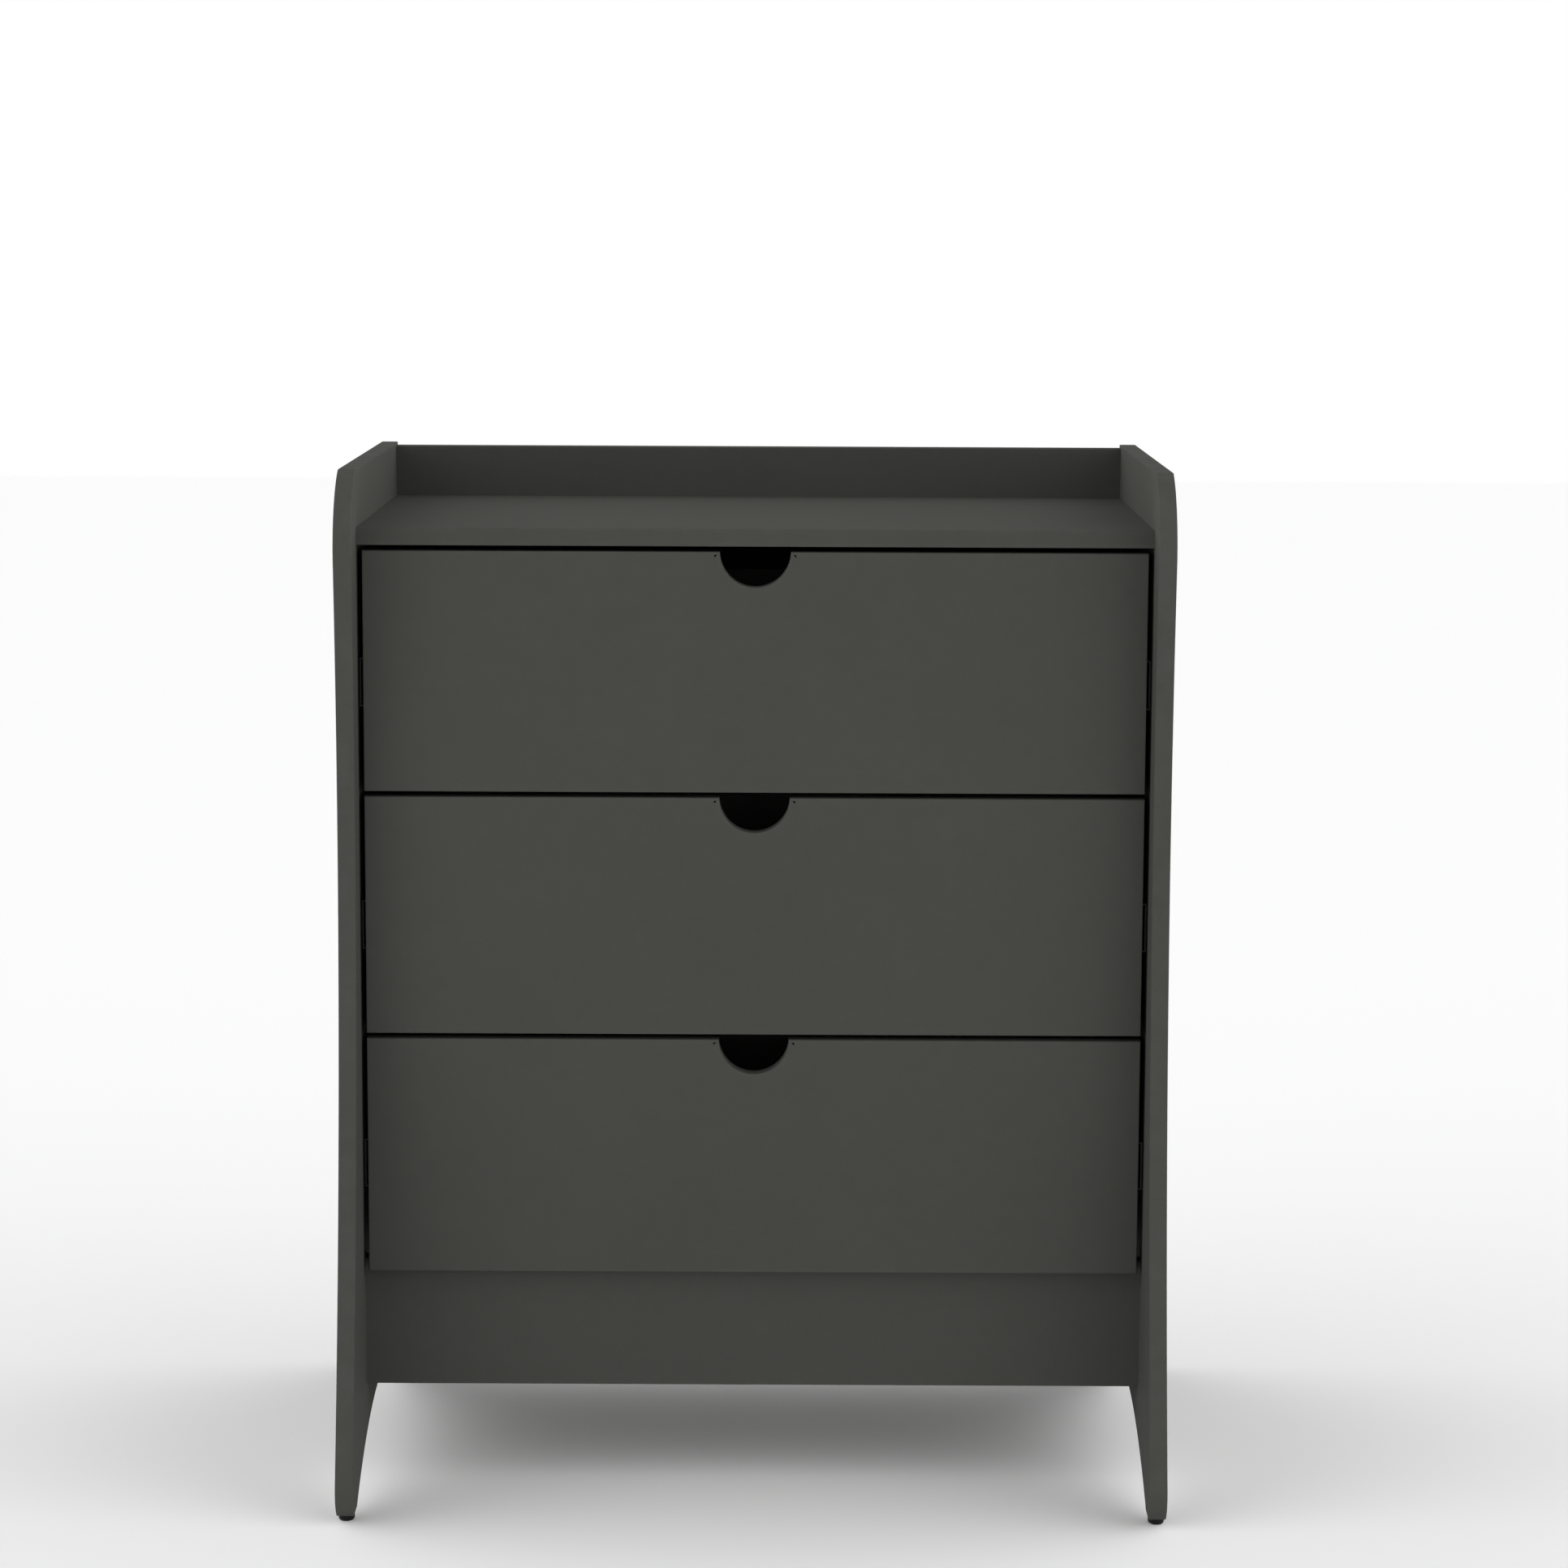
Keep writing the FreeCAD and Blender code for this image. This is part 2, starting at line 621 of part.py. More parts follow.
def make_cam_pattern(label, diameter, depth, axis_depth, bore):
    """A cam whose face is at Z = 0, with a slot towards +X that takes the head of its bolt."""
    body = new_body(label, kept=False)
    sketch = sketch_on(body, "Z", "0")
    draw_circles(sketch, [("0", "0")], diameter)
    pad(body, sketch, depth, "-Z")
    cut_cross(body, f"{CAM_CROSS_DEPTH}")
    sketch = sketch_on(body, "X", "0")
    draw_rectangle(sketch, minus(f"{bore} / 2"), f"{bore} / 2", minus(f"{axis_depth} + {bore} / 2"),
                   minus(f"{axis_depth} - {bore} / 2"))
    pocket(body, sketch, diameter, "+X")
    return body


def make_bolt_pattern(label, bore):
    """A cam bolt: the thread goes down from Z = 0, the collar, neck and head stand up from it."""
    body = new_body(label, kept=False)
    wide = f"{bore} / 2 - {BOLT_PLAY}"
    thread = "dims.bolt_diameter / 2"
    tip = "-dims.bolt_depth"
    shaft_end, neck_start, neck_end, head_start, head_end = (
        f"dims.cam_backset - {back}"
        for back in (BOLT_SHAFT_END, BOLT_NECK_START, BOLT_NECK_END, BOLT_HEAD_START, BOLT_HEAD_END))
    shaft, neck, collar = f"{BOLT_SHAFT_RADIUS}", f"{BOLT_NECK_RADIUS}", f"{BOLT_COLLAR_HEIGHT}"
    revolve(body, [
        ("0", tip), (f"{thread} - {BOLT_TIP_BEVEL}", tip), (thread, f"{tip} + {BOLT_TIP_LENGTH}"),
        (thread, "0"), (wide, "0"), (wide, collar), (shaft, collar), (shaft, shaft_end), (neck, neck_start),
        (neck, neck_end), (wide, head_start), (wide, head_end), ("0", head_end)])
    return body


def make_dowel_pattern():
    """A beech dowel with bevelled ends, its short end below Z = 0."""
    body = new_body("dowel_pattern", kept=False)
    low, high = "-dims.dowel_short", "dims.dowel_long"
    radius = "dims.dowel_diameter / 2"
    end = f"{radius} - {DOWEL_BEVEL}"
    revolve(body, [("0", low), (end, low), (radius, f"{low} + {DOWEL_BEVEL}"),
                   (radius, f"{high} - {DOWEL_BEVEL}"), (end, high), ("0", high)])
    return body


def make_screw_pattern(label, diameter, length, head_radius, head_height):
    """A pan-head screw whose head stands on the plane Z = 0 - head_height and whose top is at Z = 0."""
    body = new_body(label, kept=False)
    under = minus(head_height)
    shank = f"{diameter} / 2"
    end = minus(f"{head_height} + {length}")
    revolve(body, [
        ("0", end), (f"{SCREW_TIP_RADIUS}", end), (shank, f"{end} + {SCREW_TIP_LENGTH}"), (shank, under),
        (head_radius, under), (head_radius, f"{under} / 2"), (f"{head_radius} - {SCREW_HEAD_BEVEL}", "0"),
        ("0", "0")])
    cut_cross(body, f"{head_height} * {SCREW_CROSS_SCALE}", SCREW_CROSS_SCALE)
    return body


def make_back_screw_pattern():
    """A countersunk screw whose flat head lies flush with the plane Z = 0."""
    body = new_body("back_screw_pattern", kept=False)
    shank = "dims.back_screw_diameter / 2"
    cone = f"{shank} - dims.back_screw_head / 2"
    end = "-dims.back_screw_length"
    revolve(body, [
        ("0", end), (f"{SCREW_TIP_RADIUS}", end), (shank, f"{end} + {BACK_SCREW_TIP_LENGTH}"), (shank, cone),
        ("dims.back_screw_head / 2", "0"), ("0", "0")])
    cut_cross(body, f"{BACK_SCREW_CROSS_DEPTH}", BACK_SCREW_CROSS_SCALE)
    return body


def make_carcass_fittings():
    cam = make_cam_pattern("carcass_cam_pattern", "dims.cam_diameter", "dims.cam_depth", "dims.board / 2",
                           "dims.cam_bore")
    bolt = make_bolt_pattern("carcass_bolt_pattern", "dims.cam_bore")
    dowel = make_dowel_pattern()
    sides = ((minus(INNER), minus(CAM_X), 1), (INNER, CAM_X, -1))
    cams, bolts, dowels = [], [], []
    for side, cam_x, inwards in sides:
        towards_middle = FreeCAD.Vector(inwards, 0, 0)
        for along, up, axis, face_side, face in CARCASS_BOLTS:
            bolts.append(copy_at(bolt, (side, along, up), towards_middle))
            place = (cam_x, along, face) if axis == "Z" else (cam_x, face, up)
            sign = 1 if face_side == "+" else -1
            normal = FreeCAD.Vector(0, sign if axis == "Y" else 0, sign if axis == "Z" else 0)
            cams.append(copy_at(cam, place, normal, FreeCAD.Vector(-inwards, 0, 0)))
        for along, up in CARCASS_DOWELS:
            dowels.append(copy_at(dowel, (side, along, up), towards_middle))
    for across, up in rail_dowels():
        dowels.append(copy_at(dowel, (across, RAIL_FRONT, up), FreeCAD.Vector(0, -1, 0)))
    make_group("carcass_cams", cams)
    make_group("carcass_cam_bolts", bolts)
    make_group("carcass_dowels", dowels)


def make_glides():
    """Four plastic glides under the feet, each on a steel stem driven into the side panel."""
    radius, stem = "dims.glide_diameter / 2", "dims.stem_diameter / 2"
    side = f"({HALF_WIDTH} - dims.board / 2)"
    places = {"front_left": (minus(side), "-dims.glide_front"), "front_right": (side, "-dims.glide_front"),
              "rear_left": (minus(side), "dims.glide_rear"), "rear_right": (side, "dims.glide_rear")}
    pattern = new_body("stem_pattern", kept=False)
    sketch = sketch_on(pattern, "Z", "dims.stem_start")
    draw_circles(sketch, [("0", "0")], "dims.stem_diameter")
    pad(pattern, sketch, "dims.stem_end - dims.stem_start", "+Z")
    stems = []
    for name, (across, along) in places.items():
        glide = new_body("glide_" + name)
        glide.setExpression("Placement.Base.x", across)
        glide.setExpression("Placement.Base.y", along)
        revolve(glide, [("0", "0"), (radius, "0"), (radius, "dims.glide_height"),
                        (stem, "dims.glide_height"), (stem, "dims.stem_start"), ("0", "dims.stem_start")])
        fillet(glide, lambda edge: lies_at(edge, 2, (0,)) and edge.Length > 1, "dims.glide_height / 3")
        stems.append(copy_at(pattern, (across, along, "0"), FreeCAD.Vector(0, 0, 1)))
    make_group("glide_stems", stems)


# ---- the drawers -----------------------------------------------------------------------------------------

def draw_front_outline(sketch):
    """A rectangle with a half-round finger cut-out in the middle of its upper edge."""
    half = size("cabinet_width") / 2 - size("board") - size("front_gap")
    top, radius = size("front_height"), size("cutout_radius")
    corners = [(-radius, top), (-half, top), (-half, 0), (half, 0), (half, top), (radius, top)]
    for start, end in zip(corners, corners[1:]):
        sketch.addGeometry(Part.LineSegment(vector(*start), vector(*end)))
    upper_left, left, lower, right, upper_right = range(5)
    cutout = draw_arc(sketch, (0, top), radius, 180, 360)
    for line in (upper_left, left, lower, right):
        relate(sketch, "Coincident", line, END, line + 1, START)
    relate(sketch, "Coincident", upper_left, START, cutout, START)
    relate(sketch, "Coincident", upper_right, END, cutout, END)
    for line in (left, right):
        relate(sketch, "Vertical", line)
    relate(sketch, "Horizontal", upper_left)
    relate(sketch, "Horizontal", upper_right)
    hold(sketch, left, END, minus(f"{INNER} - dims.front_gap"), "0")
    hold(sketch, right, START, f"{INNER} - dims.front_gap", "0")
    hold(sketch, cutout, CENTRE, "0", "dims.front_height")
    hold_radius(sketch, cutout, "dims.cutout_radius")
    hold(sketch, upper_left, START, up="dims.front_height")
    hold(sketch, upper_right, END, up="dims.front_height")


def make_drawer_front(number, level):
    body = new_body(f"drawer_front_{number}", level)
    sketch = sketch_on(body, "Y", minus(FACE))
    draw_front_outline(sketch)
    pad(body, sketch, "dims.board", "+Y")
    face = size("face_setback") - size("cabinet_depth") / 2
    fillet(body, lambda edge: lies_at(edge, 1, (face,)), "dims.edge_round")
    back = minus(FRONT_BACK)
    bolts = [(side, up) for side in (minus(BOX_MIDDLE), BOX_MIDDLE) for up in BOX_BOLTS]
    drill(body, "Y", back, "-", bolts, "dims.bolt_diameter", "dims.bolt_depth")
    edge = f"{BOX_INNER} + dims.groove_depth"
    groove(body, "Y", back, "-", minus(edge), edge, BOTTOM_LEVEL, f"{BOTTOM_LEVEL} + dims.groove_width")


def make_drawer_sides(number, level):
    outside, inside, front = minus(BOX_OUTER), minus(BOX_INNER), minus(FRONT_BACK)
    left = make_board(f"drawer_side_left_{number}", (outside, front, "dims.box_lift"),
                      (inside, BOX_END, BOX_TOP), level)
    top = size("box_lift") + size("box_height")
    fillet(left, lambda edge: lies_at(edge, 2, (top,)) and edge.Length > size("board"), "dims.edge_round")
    groove(left, "X", inside, "-", front, BOX_END, BOTTOM_LEVEL, f"{BOTTOM_LEVEL} + dims.groove_width")
    drill(left, "Y", front, "+", [(minus(BOX_MIDDLE), up) for up in BOX_BOLTS], "dims.box_cam_bore",
          "dims.cam_backset")
    drill(left, "X", inside, "-", [(f"dims.cam_backset - {FRONT_BACK}", up) for up in BOX_BOLTS],
          "dims.box_cam_diameter", "dims.box_cam_depth")
    drill(left, "X", outside, "+", [(along, "dims.slide_level") for along in SLIDE_SCREWS],
          "dims.box_screw_diameter", "dims.box_screw_grip + dims.drill_play")
    holes = [(BACK_MIDDLE, up) for up in BACK_SCREWS]
    drill(left, "X", outside, "+", holes, "dims.back_screw_diameter", "dims.box_board")
    drill(left, "X", outside, "+", holes, "dims.back_screw_head",
          "(dims.back_screw_head - dims.back_screw_diameter) / 2")
    make_mirrored(left, f"drawer_side_right_{number}")


def make_drawer_back(number, level):
    body = make_board(f"drawer_back_{number}", (minus(BOX_INNER), BACK_FRONT, "dims.box_lift"),
                      (BOX_INNER, BOX_END, BOX_TOP), level)
    top = size("box_lift") + size("box_height")
    fillet(body, lambda edge: lies_at(edge, 2, (top,)) and edge.Length > size("board"), "dims.edge_round")
    groove(body, "Y", BACK_FRONT, "+", minus(BOX_INNER), BOX_INNER, BOTTOM_LEVEL,
           f"{BOTTOM_LEVEL} + dims.groove_width")
    holes = [(BACK_MIDDLE, up) for up in BACK_SCREWS]
    depth = "dims.back_screw_length - dims.box_board + dims.drill_play"
    for side, into in ((minus(BOX_INNER), "+"), (BOX_INNER, "-")):
        drill(body, "X", side, into, holes, "dims.back_screw_diameter", depth)


def make_drawer_bottom(number, level):
    edge = f"{BOX_INNER} + {SHEET_GRIP}"
    make_board(f"drawer_bottom_{number}",
               (minus(edge), minus(f"{FRONT_BACK} + {SHEET_GRIP}"),
                f"{BOTTOM_MIDDLE} - dims.sheet_thickness / 2"),
               (edge, f"{BACK_FRONT} + {SHEET_GRIP}", f"{BOTTOM_MIDDLE} + dims.sheet_thickness / 2"), level)


def make_drawer_fittings(number, level, cam, bolt, back_screw, slide_screw):
    cams, bolts, back_screws, slide_screws = [], [], [], []
    forwards = FreeCAD.Vector(0, -1, 0)
    slide_web = f"({BOX_OUTER} + dims.web_thickness)"
    for sign in (-1, 1):
        inwards, outwards = FreeCAD.Vector(-sign, 0, 0), FreeCAD.Vector(sign, 0, 0)
        for up in BOX_BOLTS:
            cam_y = f"dims.cam_backset - {FRONT_BACK}"
            cams.append(copy_at(cam, (f"{sign} * {BOX_INNER}", cam_y, up), inwards, forwards))
            bolts.append(copy_at(bolt, (f"{sign} * {BOX_MIDDLE}", minus(FRONT_BACK), up),
                                 FreeCAD.Vector(0, 1, 0)))
        for up in BACK_SCREWS:
            back_screws.append(copy_at(back_screw, (f"{sign} * {BOX_OUTER}", BACK_MIDDLE, up), outwards))
        for along in SLIDE_SCREWS:
            head_x = f"{sign} * ({slide_web} + {SCREW_HEAD_HEIGHT})"
            slide_screws.append(copy_at(slide_screw, (head_x, along, "dims.slide_level"), outwards))
    make_group(f"drawer_cams_{number}", cams, level)
    make_group(f"drawer_cam_bolts_{number}", bolts, level)
    make_group(f"drawer_back_screws_{number}", back_screws, level)
    make_group(f"slide_screws_drawer_{number}", slide_screws, level)


# ---- the telescopic slides -------------------------------------------------------------------------------

def from_cabinet(distance):
    """X on the left slide at a distance from the side panel's inner face."""
    return f"{distance} - {INNER}"


def slide_member(name, number, level, corners, hole_plane=None, hole_diameter=None):
    """A left and a right channel of sheet steel; corners give distance from the cabinet and height."""
    left = new_body(f"{name}_left_{number}", level, kept=False)
    sketch = sketch_on(left, "Y", minus(SLIDE_FRONT))
    middle = "dims.slide_level"
    draw_polygon(sketch, [(from_cabinet(across), f"{middle} + {up}") for across, up in corners])
    pad(left, sketch, "dims.slide_length", "+Y")
    holes = [(along, middle) for along in SLIDE_SCREWS]
    drill(left, "X", from_cabinet(hole_plane), "+", holes, hole_diameter, "dims.web_thickness")
    right = make_mirrored(left, f"{name}_right_{number}", kept=False)
    make_group(f"{name}_{number}", [left, right])


def make_slides(number, level, cage):
    web, thin = "dims.web_thickness", "dims.middle_thickness"
    outer, reach, lip = "dims.outer_half", "dims.outer_reach", "dims.outer_lip"
    upper_half = [("0", outer), (reach, outer), (reach, f"({outer} - {lip})"),
                  (f"({reach} - {thin})", f"({outer} - {lip})"), (f"({reach} - {thin})", f"({outer} - {web})"),
                  (web, f"({outer} - {web})")]
    slide_member("slide_outer", number, level, both_halves(upper_half), "0",
                 "dims.slide_screw_diameter + dims.drill_play")

    half, near, far = "dims.middle_half", "dims.middle_near", "dims.middle_far"
    upper_half = [(near, half), (far, half), (far, f"({half} - {thin})"),
                  (f"({near} + {thin})", f"({half} - {thin})")]
    slide_member("slide_middle", number, level, both_halves(upper_half), near, "dims.access_hole")

    half, near, far = "dims.inner_half", "dims.inner_near", "dims.slide_gap"
    upper_half = [(far, half), (near, half), (near, f"({half} - {web})"),
                  (f"({far} - {web})", f"({half} - {web})")]
    slide_member("slide_inner", number, level, both_halves(upper_half), f"({far} - {web})",
                 "dims.box_screw_diameter + dims.drill_play")

    # Two rows of balls run in the rear half of the outer member and two in the front half of the inner
    # member, so that they stay between their races over the whole travel.
    outer_row = "(dims.outer_half - dims.web_thickness + dims.middle_half) / 2"
    inner_row = "(dims.middle_half - dims.middle_thickness + dims.inner_half) / 2"
    across = f"({INNER} - dims.ball_line)"
    rear_start = f"{SLIDE_REAR} - dims.cage_length - dims.cage_play"
    front_start = f"dims.cage_play - {SLIDE_FRONT}"
    cages = []
    for sign in (-1, 1):
        for row, start in ((outer_row, rear_start), (inner_row, front_start)):
            for upwards in (-1, 1):
                place = (f"{sign} * {across}", start, f"dims.slide_level + {upwards} * {row}")
                cages.append(copy_at(cage, place, FreeCAD.Vector(0, 0, 1)))
    make_group(f"slide_cages_{number}", cages, level)


def both_halves(upper_half):
    """The outline of a channel that is the same above and below its middle line."""
    lower_half = [(across, minus(up)) for across, up in upper_half]
    return upper_half[::-1] + lower_half


def make_cage_pattern():
    """A thin strip along Y that holds a row of steel balls."""
    strip = doc.addObject("Part::Box", "cage_strip")
    strip.setExpression("Length", "dims.cage_width")
    strip.setExpression("Width", "dims.cage_length")
    strip.setExpression("Height", "dims.cage_thickness")
    strip.setExpression("Placement.Base.x", "-dims.cage_width / 2")
    strip.setExpression("Placement.Base.z", "-dims.cage_thickness / 2")
    balls = []
    for number in range(BALLS_PER_CAGE):
        ball = doc.addObject("Part::Sphere", "cage_ball")
        ball.setExpression("Radius", "dims.ball_diameter / 2")
        ball.setExpression("Placement.Base.y", f"dims.ball_pitch * {number + 0.5}")
        balls.append(ball)
    cage = doc.addObject("Part::MultiFuse", "cage_pattern")
    cage.Label = "cage_pattern"
    cage.Shapes = [strip] + balls
    doc.recompute()
    return cage


def make_cabinet_slide_screws():
    screw = make_screw_pattern("cabinet_screw_pattern", "dims.slide_screw_diameter",
                               "dims.web_thickness + dims.slide_screw_grip", f"{SCREW_HEAD_RADIUS}",
                               f"{SCREW_HEAD_HEIGHT}")
    screws = []
    for number in DRAWERS:
        for sign in (-1, 1):
            for along in SLIDE_SCREWS:
                place = (f"{sign} * ({INNER} - dims.web_thickness - {SCREW_HEAD_HEIGHT})", along,
                         f"{drawer_level(number)} + dims.slide_level")
                screws.append(copy_at(screw, place, FreeCAD.Vector(-sign, 0, 0)))
    make_group("slide_screws_cabinet", screws)


# ---- the whole chest -------------------------------------------------------------------------------------

def make_drawers():
    cam = make_cam_pattern("box_cam_pattern", "dims.box_cam_diameter", "dims.box_cam_depth",
                           "dims.box_board / 2", "dims.box_cam_bore")
    bolt = make_bolt_pattern("box_bolt_pattern", "dims.box_cam_bore")
    back_screw = make_back_screw_pattern()
    slide_screw = make_screw_pattern("box_screw_pattern", "dims.box_screw_diameter",
                                     "dims.web_thickness + dims.box_screw_grip", f"{SCREW_HEAD_RADIUS}",
                                     f"{SCREW_HEAD_HEIGHT}")
    cage = make_cage_pattern()
    for number in DRAWERS:
        level = drawer_level(number)
        make_drawer_front(number, level)
        make_drawer_sides(number, level)
        make_drawer_back(number, level)
        make_drawer_bottom(number, level)
        make_drawer_fittings(number, level, cam, bolt, back_screw, slide_screw)
        make_slides(number, level, cage)


def check_and_write():
    """Write each sub-part once every object of the document is sound."""
    doc.recompute()
    for item in doc.Objects:
        if "Invalid" in item.State or "Error" in item.State:
            raise RuntimeError(f"{item.Label}: {item.State}")
    for item in subparts:
        if item.Shape.isNull() or not item.Shape.isValid() or not item.Shape.Solids:
            raise RuntimeError(f"{item.Label}: unsound shape")
    os.makedirs("parts", exist_ok=True)
    for item in subparts:
        item.Shape.exportStep(f"parts/{item.Label}.step")
        box = item.Shape.BoundBox
        print(f"{item.Label:26s} {len(item.Shape.Solids):3d} solids  "
              f"X {box.XMin:7.1f} {box.XMax:7.1f}  Y {box.YMin:7.1f} {box.YMax:7.1f}  "
              f"Z {box.ZMin:7.1f} {box.ZMax:7.1f}")
    print(len(subparts), "sub-parts")


make_sheet()
make_side_panels()
make_top_board()
make_back_rail()
make_apron()
make_rear_stretcher()
make_back_panel()
make_carcass_fittings()
make_glides()
make_drawers()
make_cabinet_slide_screws()
check_and_write()
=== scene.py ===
import math

import bpy
import numpy as np
from mathutils import Matrix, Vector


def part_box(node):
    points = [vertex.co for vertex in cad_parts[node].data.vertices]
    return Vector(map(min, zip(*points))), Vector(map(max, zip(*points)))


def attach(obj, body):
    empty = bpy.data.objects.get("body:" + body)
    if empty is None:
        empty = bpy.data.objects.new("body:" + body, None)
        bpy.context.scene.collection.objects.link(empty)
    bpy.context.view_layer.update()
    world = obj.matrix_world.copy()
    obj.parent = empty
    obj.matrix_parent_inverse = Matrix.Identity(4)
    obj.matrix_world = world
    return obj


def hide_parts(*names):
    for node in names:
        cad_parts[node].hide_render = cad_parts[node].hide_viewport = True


bl_info = {
    "name": "Bedside Chest",
    "version": (1, 0, 0),
    "blender": (4, 5, 0),
    "location": "View3D > Sidebar > Chest",
    "description": "Lacquered bedside chest with three drawers on telescopic slides",
    "category": "Add Mesh",
}

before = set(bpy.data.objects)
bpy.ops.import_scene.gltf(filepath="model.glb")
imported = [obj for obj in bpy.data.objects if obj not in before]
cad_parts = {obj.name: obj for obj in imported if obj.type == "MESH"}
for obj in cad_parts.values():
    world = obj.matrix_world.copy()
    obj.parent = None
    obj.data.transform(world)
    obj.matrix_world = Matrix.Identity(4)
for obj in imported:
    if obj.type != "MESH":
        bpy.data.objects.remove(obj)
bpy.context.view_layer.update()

DRAWERS = {1: "lower", 2: "middle", 3: "upper"}
SIDES = {"left": -1, "right": 1}
CROSS_BOARDS = ("top_board", "back_rail", "apron", "rear_stretcher")
SMOOTH_LIMIT = math.radians(35)
# Strength of the paler edge, partly rubbed wear and partly painted highlight, halfway across the band.
WEAR_AND_HIGHLIGHT_INSIDE_BAND = 0.35


# ---- settings --------------------------------------------------------------------------------------------

def length(name, description, default, lowest=0.0):
    return bpy.props.FloatProperty(
        name=name, description=description, default=default, min=lowest, unit="LENGTH", precision=5)


def colour(name, description, default):
    return bpy.props.FloatVectorProperty(
        name=name, description=description, default=default, size=3, min=0.0, max=1.0, subtype="COLOR")


def share(name, description, default):
    return bpy.props.FloatProperty(
        name=name, description=description, default=default, min=0.0, max=1.0, subtype="FACTOR")


def angle(name, description, degrees):
    return bpy.props.FloatProperty(
        name=name, description=description, default=math.radians(degrees), subtype="ANGLE", unit="ROTATION")


class BoardSettings(bpy.types.PropertyGroup):
    arris: length("Arris", "Radius of the sanded edges of the boards", 0.0009)
    # The band is where the edges are paler: partly rubbed wear, partly a painted highlight.
    worn_band: length("Worn band", "Width of the band along an edge that handling has rubbed", 0.005)
    curve_radius: length("Front curve", "Radius of the long hollow curve of a side panel", 2.390)
    curve_level: length("Curve level", "Height at which a side panel is narrowest", 0.634)
    toe_radius: length("Toe", "Radius of the toe of a front leg", 0.030)
    toe_level: length("Toe level", "Height of the centre of the toe's arc", 0.0305)
    shoulder_radius: length("Shoulder", "Radius of the upper front corner of a side panel", 0.081)
    shoulder_level: length("Shoulder level", "Height of the centre of the shoulder's arc", 0.874)
    corner_radius: length("Corner", "Radius between the shoulder and the top edge", 0.012)
    arch_radius: length("Arch", "Radius of the arch between the feet of a side panel", 0.390)
    arch_crown: length("Arch crown", "Height of the highest point of the arch", 0.065)
    cutout_radius: length("Finger cut-out", "Radius of the half-round cut-out of a drawer front", 0.032)


class FinishSettings(bpy.types.PropertyGroup):
    lacquer: colour("Lacquer", "Colour of the lacquered boards", (0.0655, 0.0664, 0.0602))
    # The paler edge colour stands partly for rubbed lacquer and partly for a painted highlight along the
    # edges.
    lacquer_rubbed_and_highlit: colour("Rubbed lacquer", "Colour of the lacquer on handled edges", (0.076, 0.077, 0.071))
    lacquer_roughness: share("Lacquer roughness", "Roughness of the matt lacquer", 0.85)
    sheet: colour("Sheet", "Colour of the thin lacquered hardboard", (0.055, 0.056, 0.051))
    melamine: colour("Melamine", "Colour of the drawer boxes", (0.30, 0.30, 0.29))
    box_sheet: colour("Box sheet", "Colour of the drawer bottoms", (0.34, 0.34, 0.33))
    slide_paint: colour("Slide paint", "Colour of the dip-painted slides", (0.026, 0.026, 0.028))
    zinc: colour("Zinc", "Colour of the zinc-plated steel", (0.60, 0.61, 0.62))
    casting: colour("Casting", "Colour of the die-cast cams", (0.42, 0.43, 0.44))
    beech: colour("Beech", "Colour of the dowels", (0.58, 0.40, 0.24))
    plastic: colour("Plastic", "Colour of the glides", (0.008, 0.008, 0.008))


class StageSettings(bpy.types.PropertyGroup):
    lens: bpy.props.FloatProperty(
        name="Lens", description="Focal length of the camera on a 36 mm frame", default=85.56, min=20.0,
        unit="CAMERA")
    camera_side: length("Camera side", "How far the camera stands to the right of the middle", 0.0263, -5.0)
    camera_distance: length("Camera distance", "Distance of the camera in front of the origin", 3.468)
    camera_height: length("Camera height", "Height of the camera above the floor", 1.198)
    camera_tilt: angle("Camera tilt", "How far the camera looks down", 7.66)
    camera_roll: angle("Camera roll", "How far the camera leans to the left", 0.26)
    shift: bpy.props.FloatProperty(
        name="Shift", description="How far the lens shift lowers the view, in frame widths",
        default=0.06, min=0.0, max=0.4)
    light_all_round: bpy.props.FloatProperty(
        name="Light all round", description="Strength of the light from every direction",
        default=0.32, min=0.0)
    light_from_sides: bpy.props.FloatProperty(
        name="Light from the sides", description="Strength of the soft light added from both sides",
        default=2.8, min=0.0)
    background: colour("Background", "Colour behind the chest", (1.0, 1.0, 1.0))
    floor: colour("Floor", "Colour of the floor", (0.97, 0.97, 0.97))


# ---- surfaces --------------------------------------------------------------------------------------------

def arc(centre, radius, start, end, count):
    """Points of an arc between two angles in degrees: centre + radius * (cos a, sin a)."""
    turn = np.radians(np.linspace(start, end, count))
    return np.column_stack((centre[0] + radius * np.cos(turn), centre[1] + radius * np.sin(turn)))


def mitres(outline):
    """
    For each corner of a closed anticlockwise outline, the outward vector that moves both of its edges out by
    one: the sum of the two edges' normals divided by one plus their scalar product.
    """
    edges = np.roll(outline, -1, axis=0) - outline
    normals = np.column_stack((edges[:, 1], -edges[:, 0])) / np.linalg.norm(edges, axis=1)[:, None]
    before = np.roll(normals, 1, axis=0)
    return (normals + before) / (1 + np.sum(normals * before, axis=1))[:, None]


def grid_faces(rows, columns, closed):
    """Quads of a grid of points numbered row by row; closed joins the last column to the first."""
    steps = columns if closed else columns - 1
    low, left = np.meshgrid(np.arange(rows - 1), np.arange(steps), indexing="ij")
    right = (left + 1) % columns
    quads = np.stack((low * columns + left, low * columns + right,
                      (low + 1) * columns + right, (low + 1) * columns + left), axis=-1)
    return quads.reshape(-1, 4)


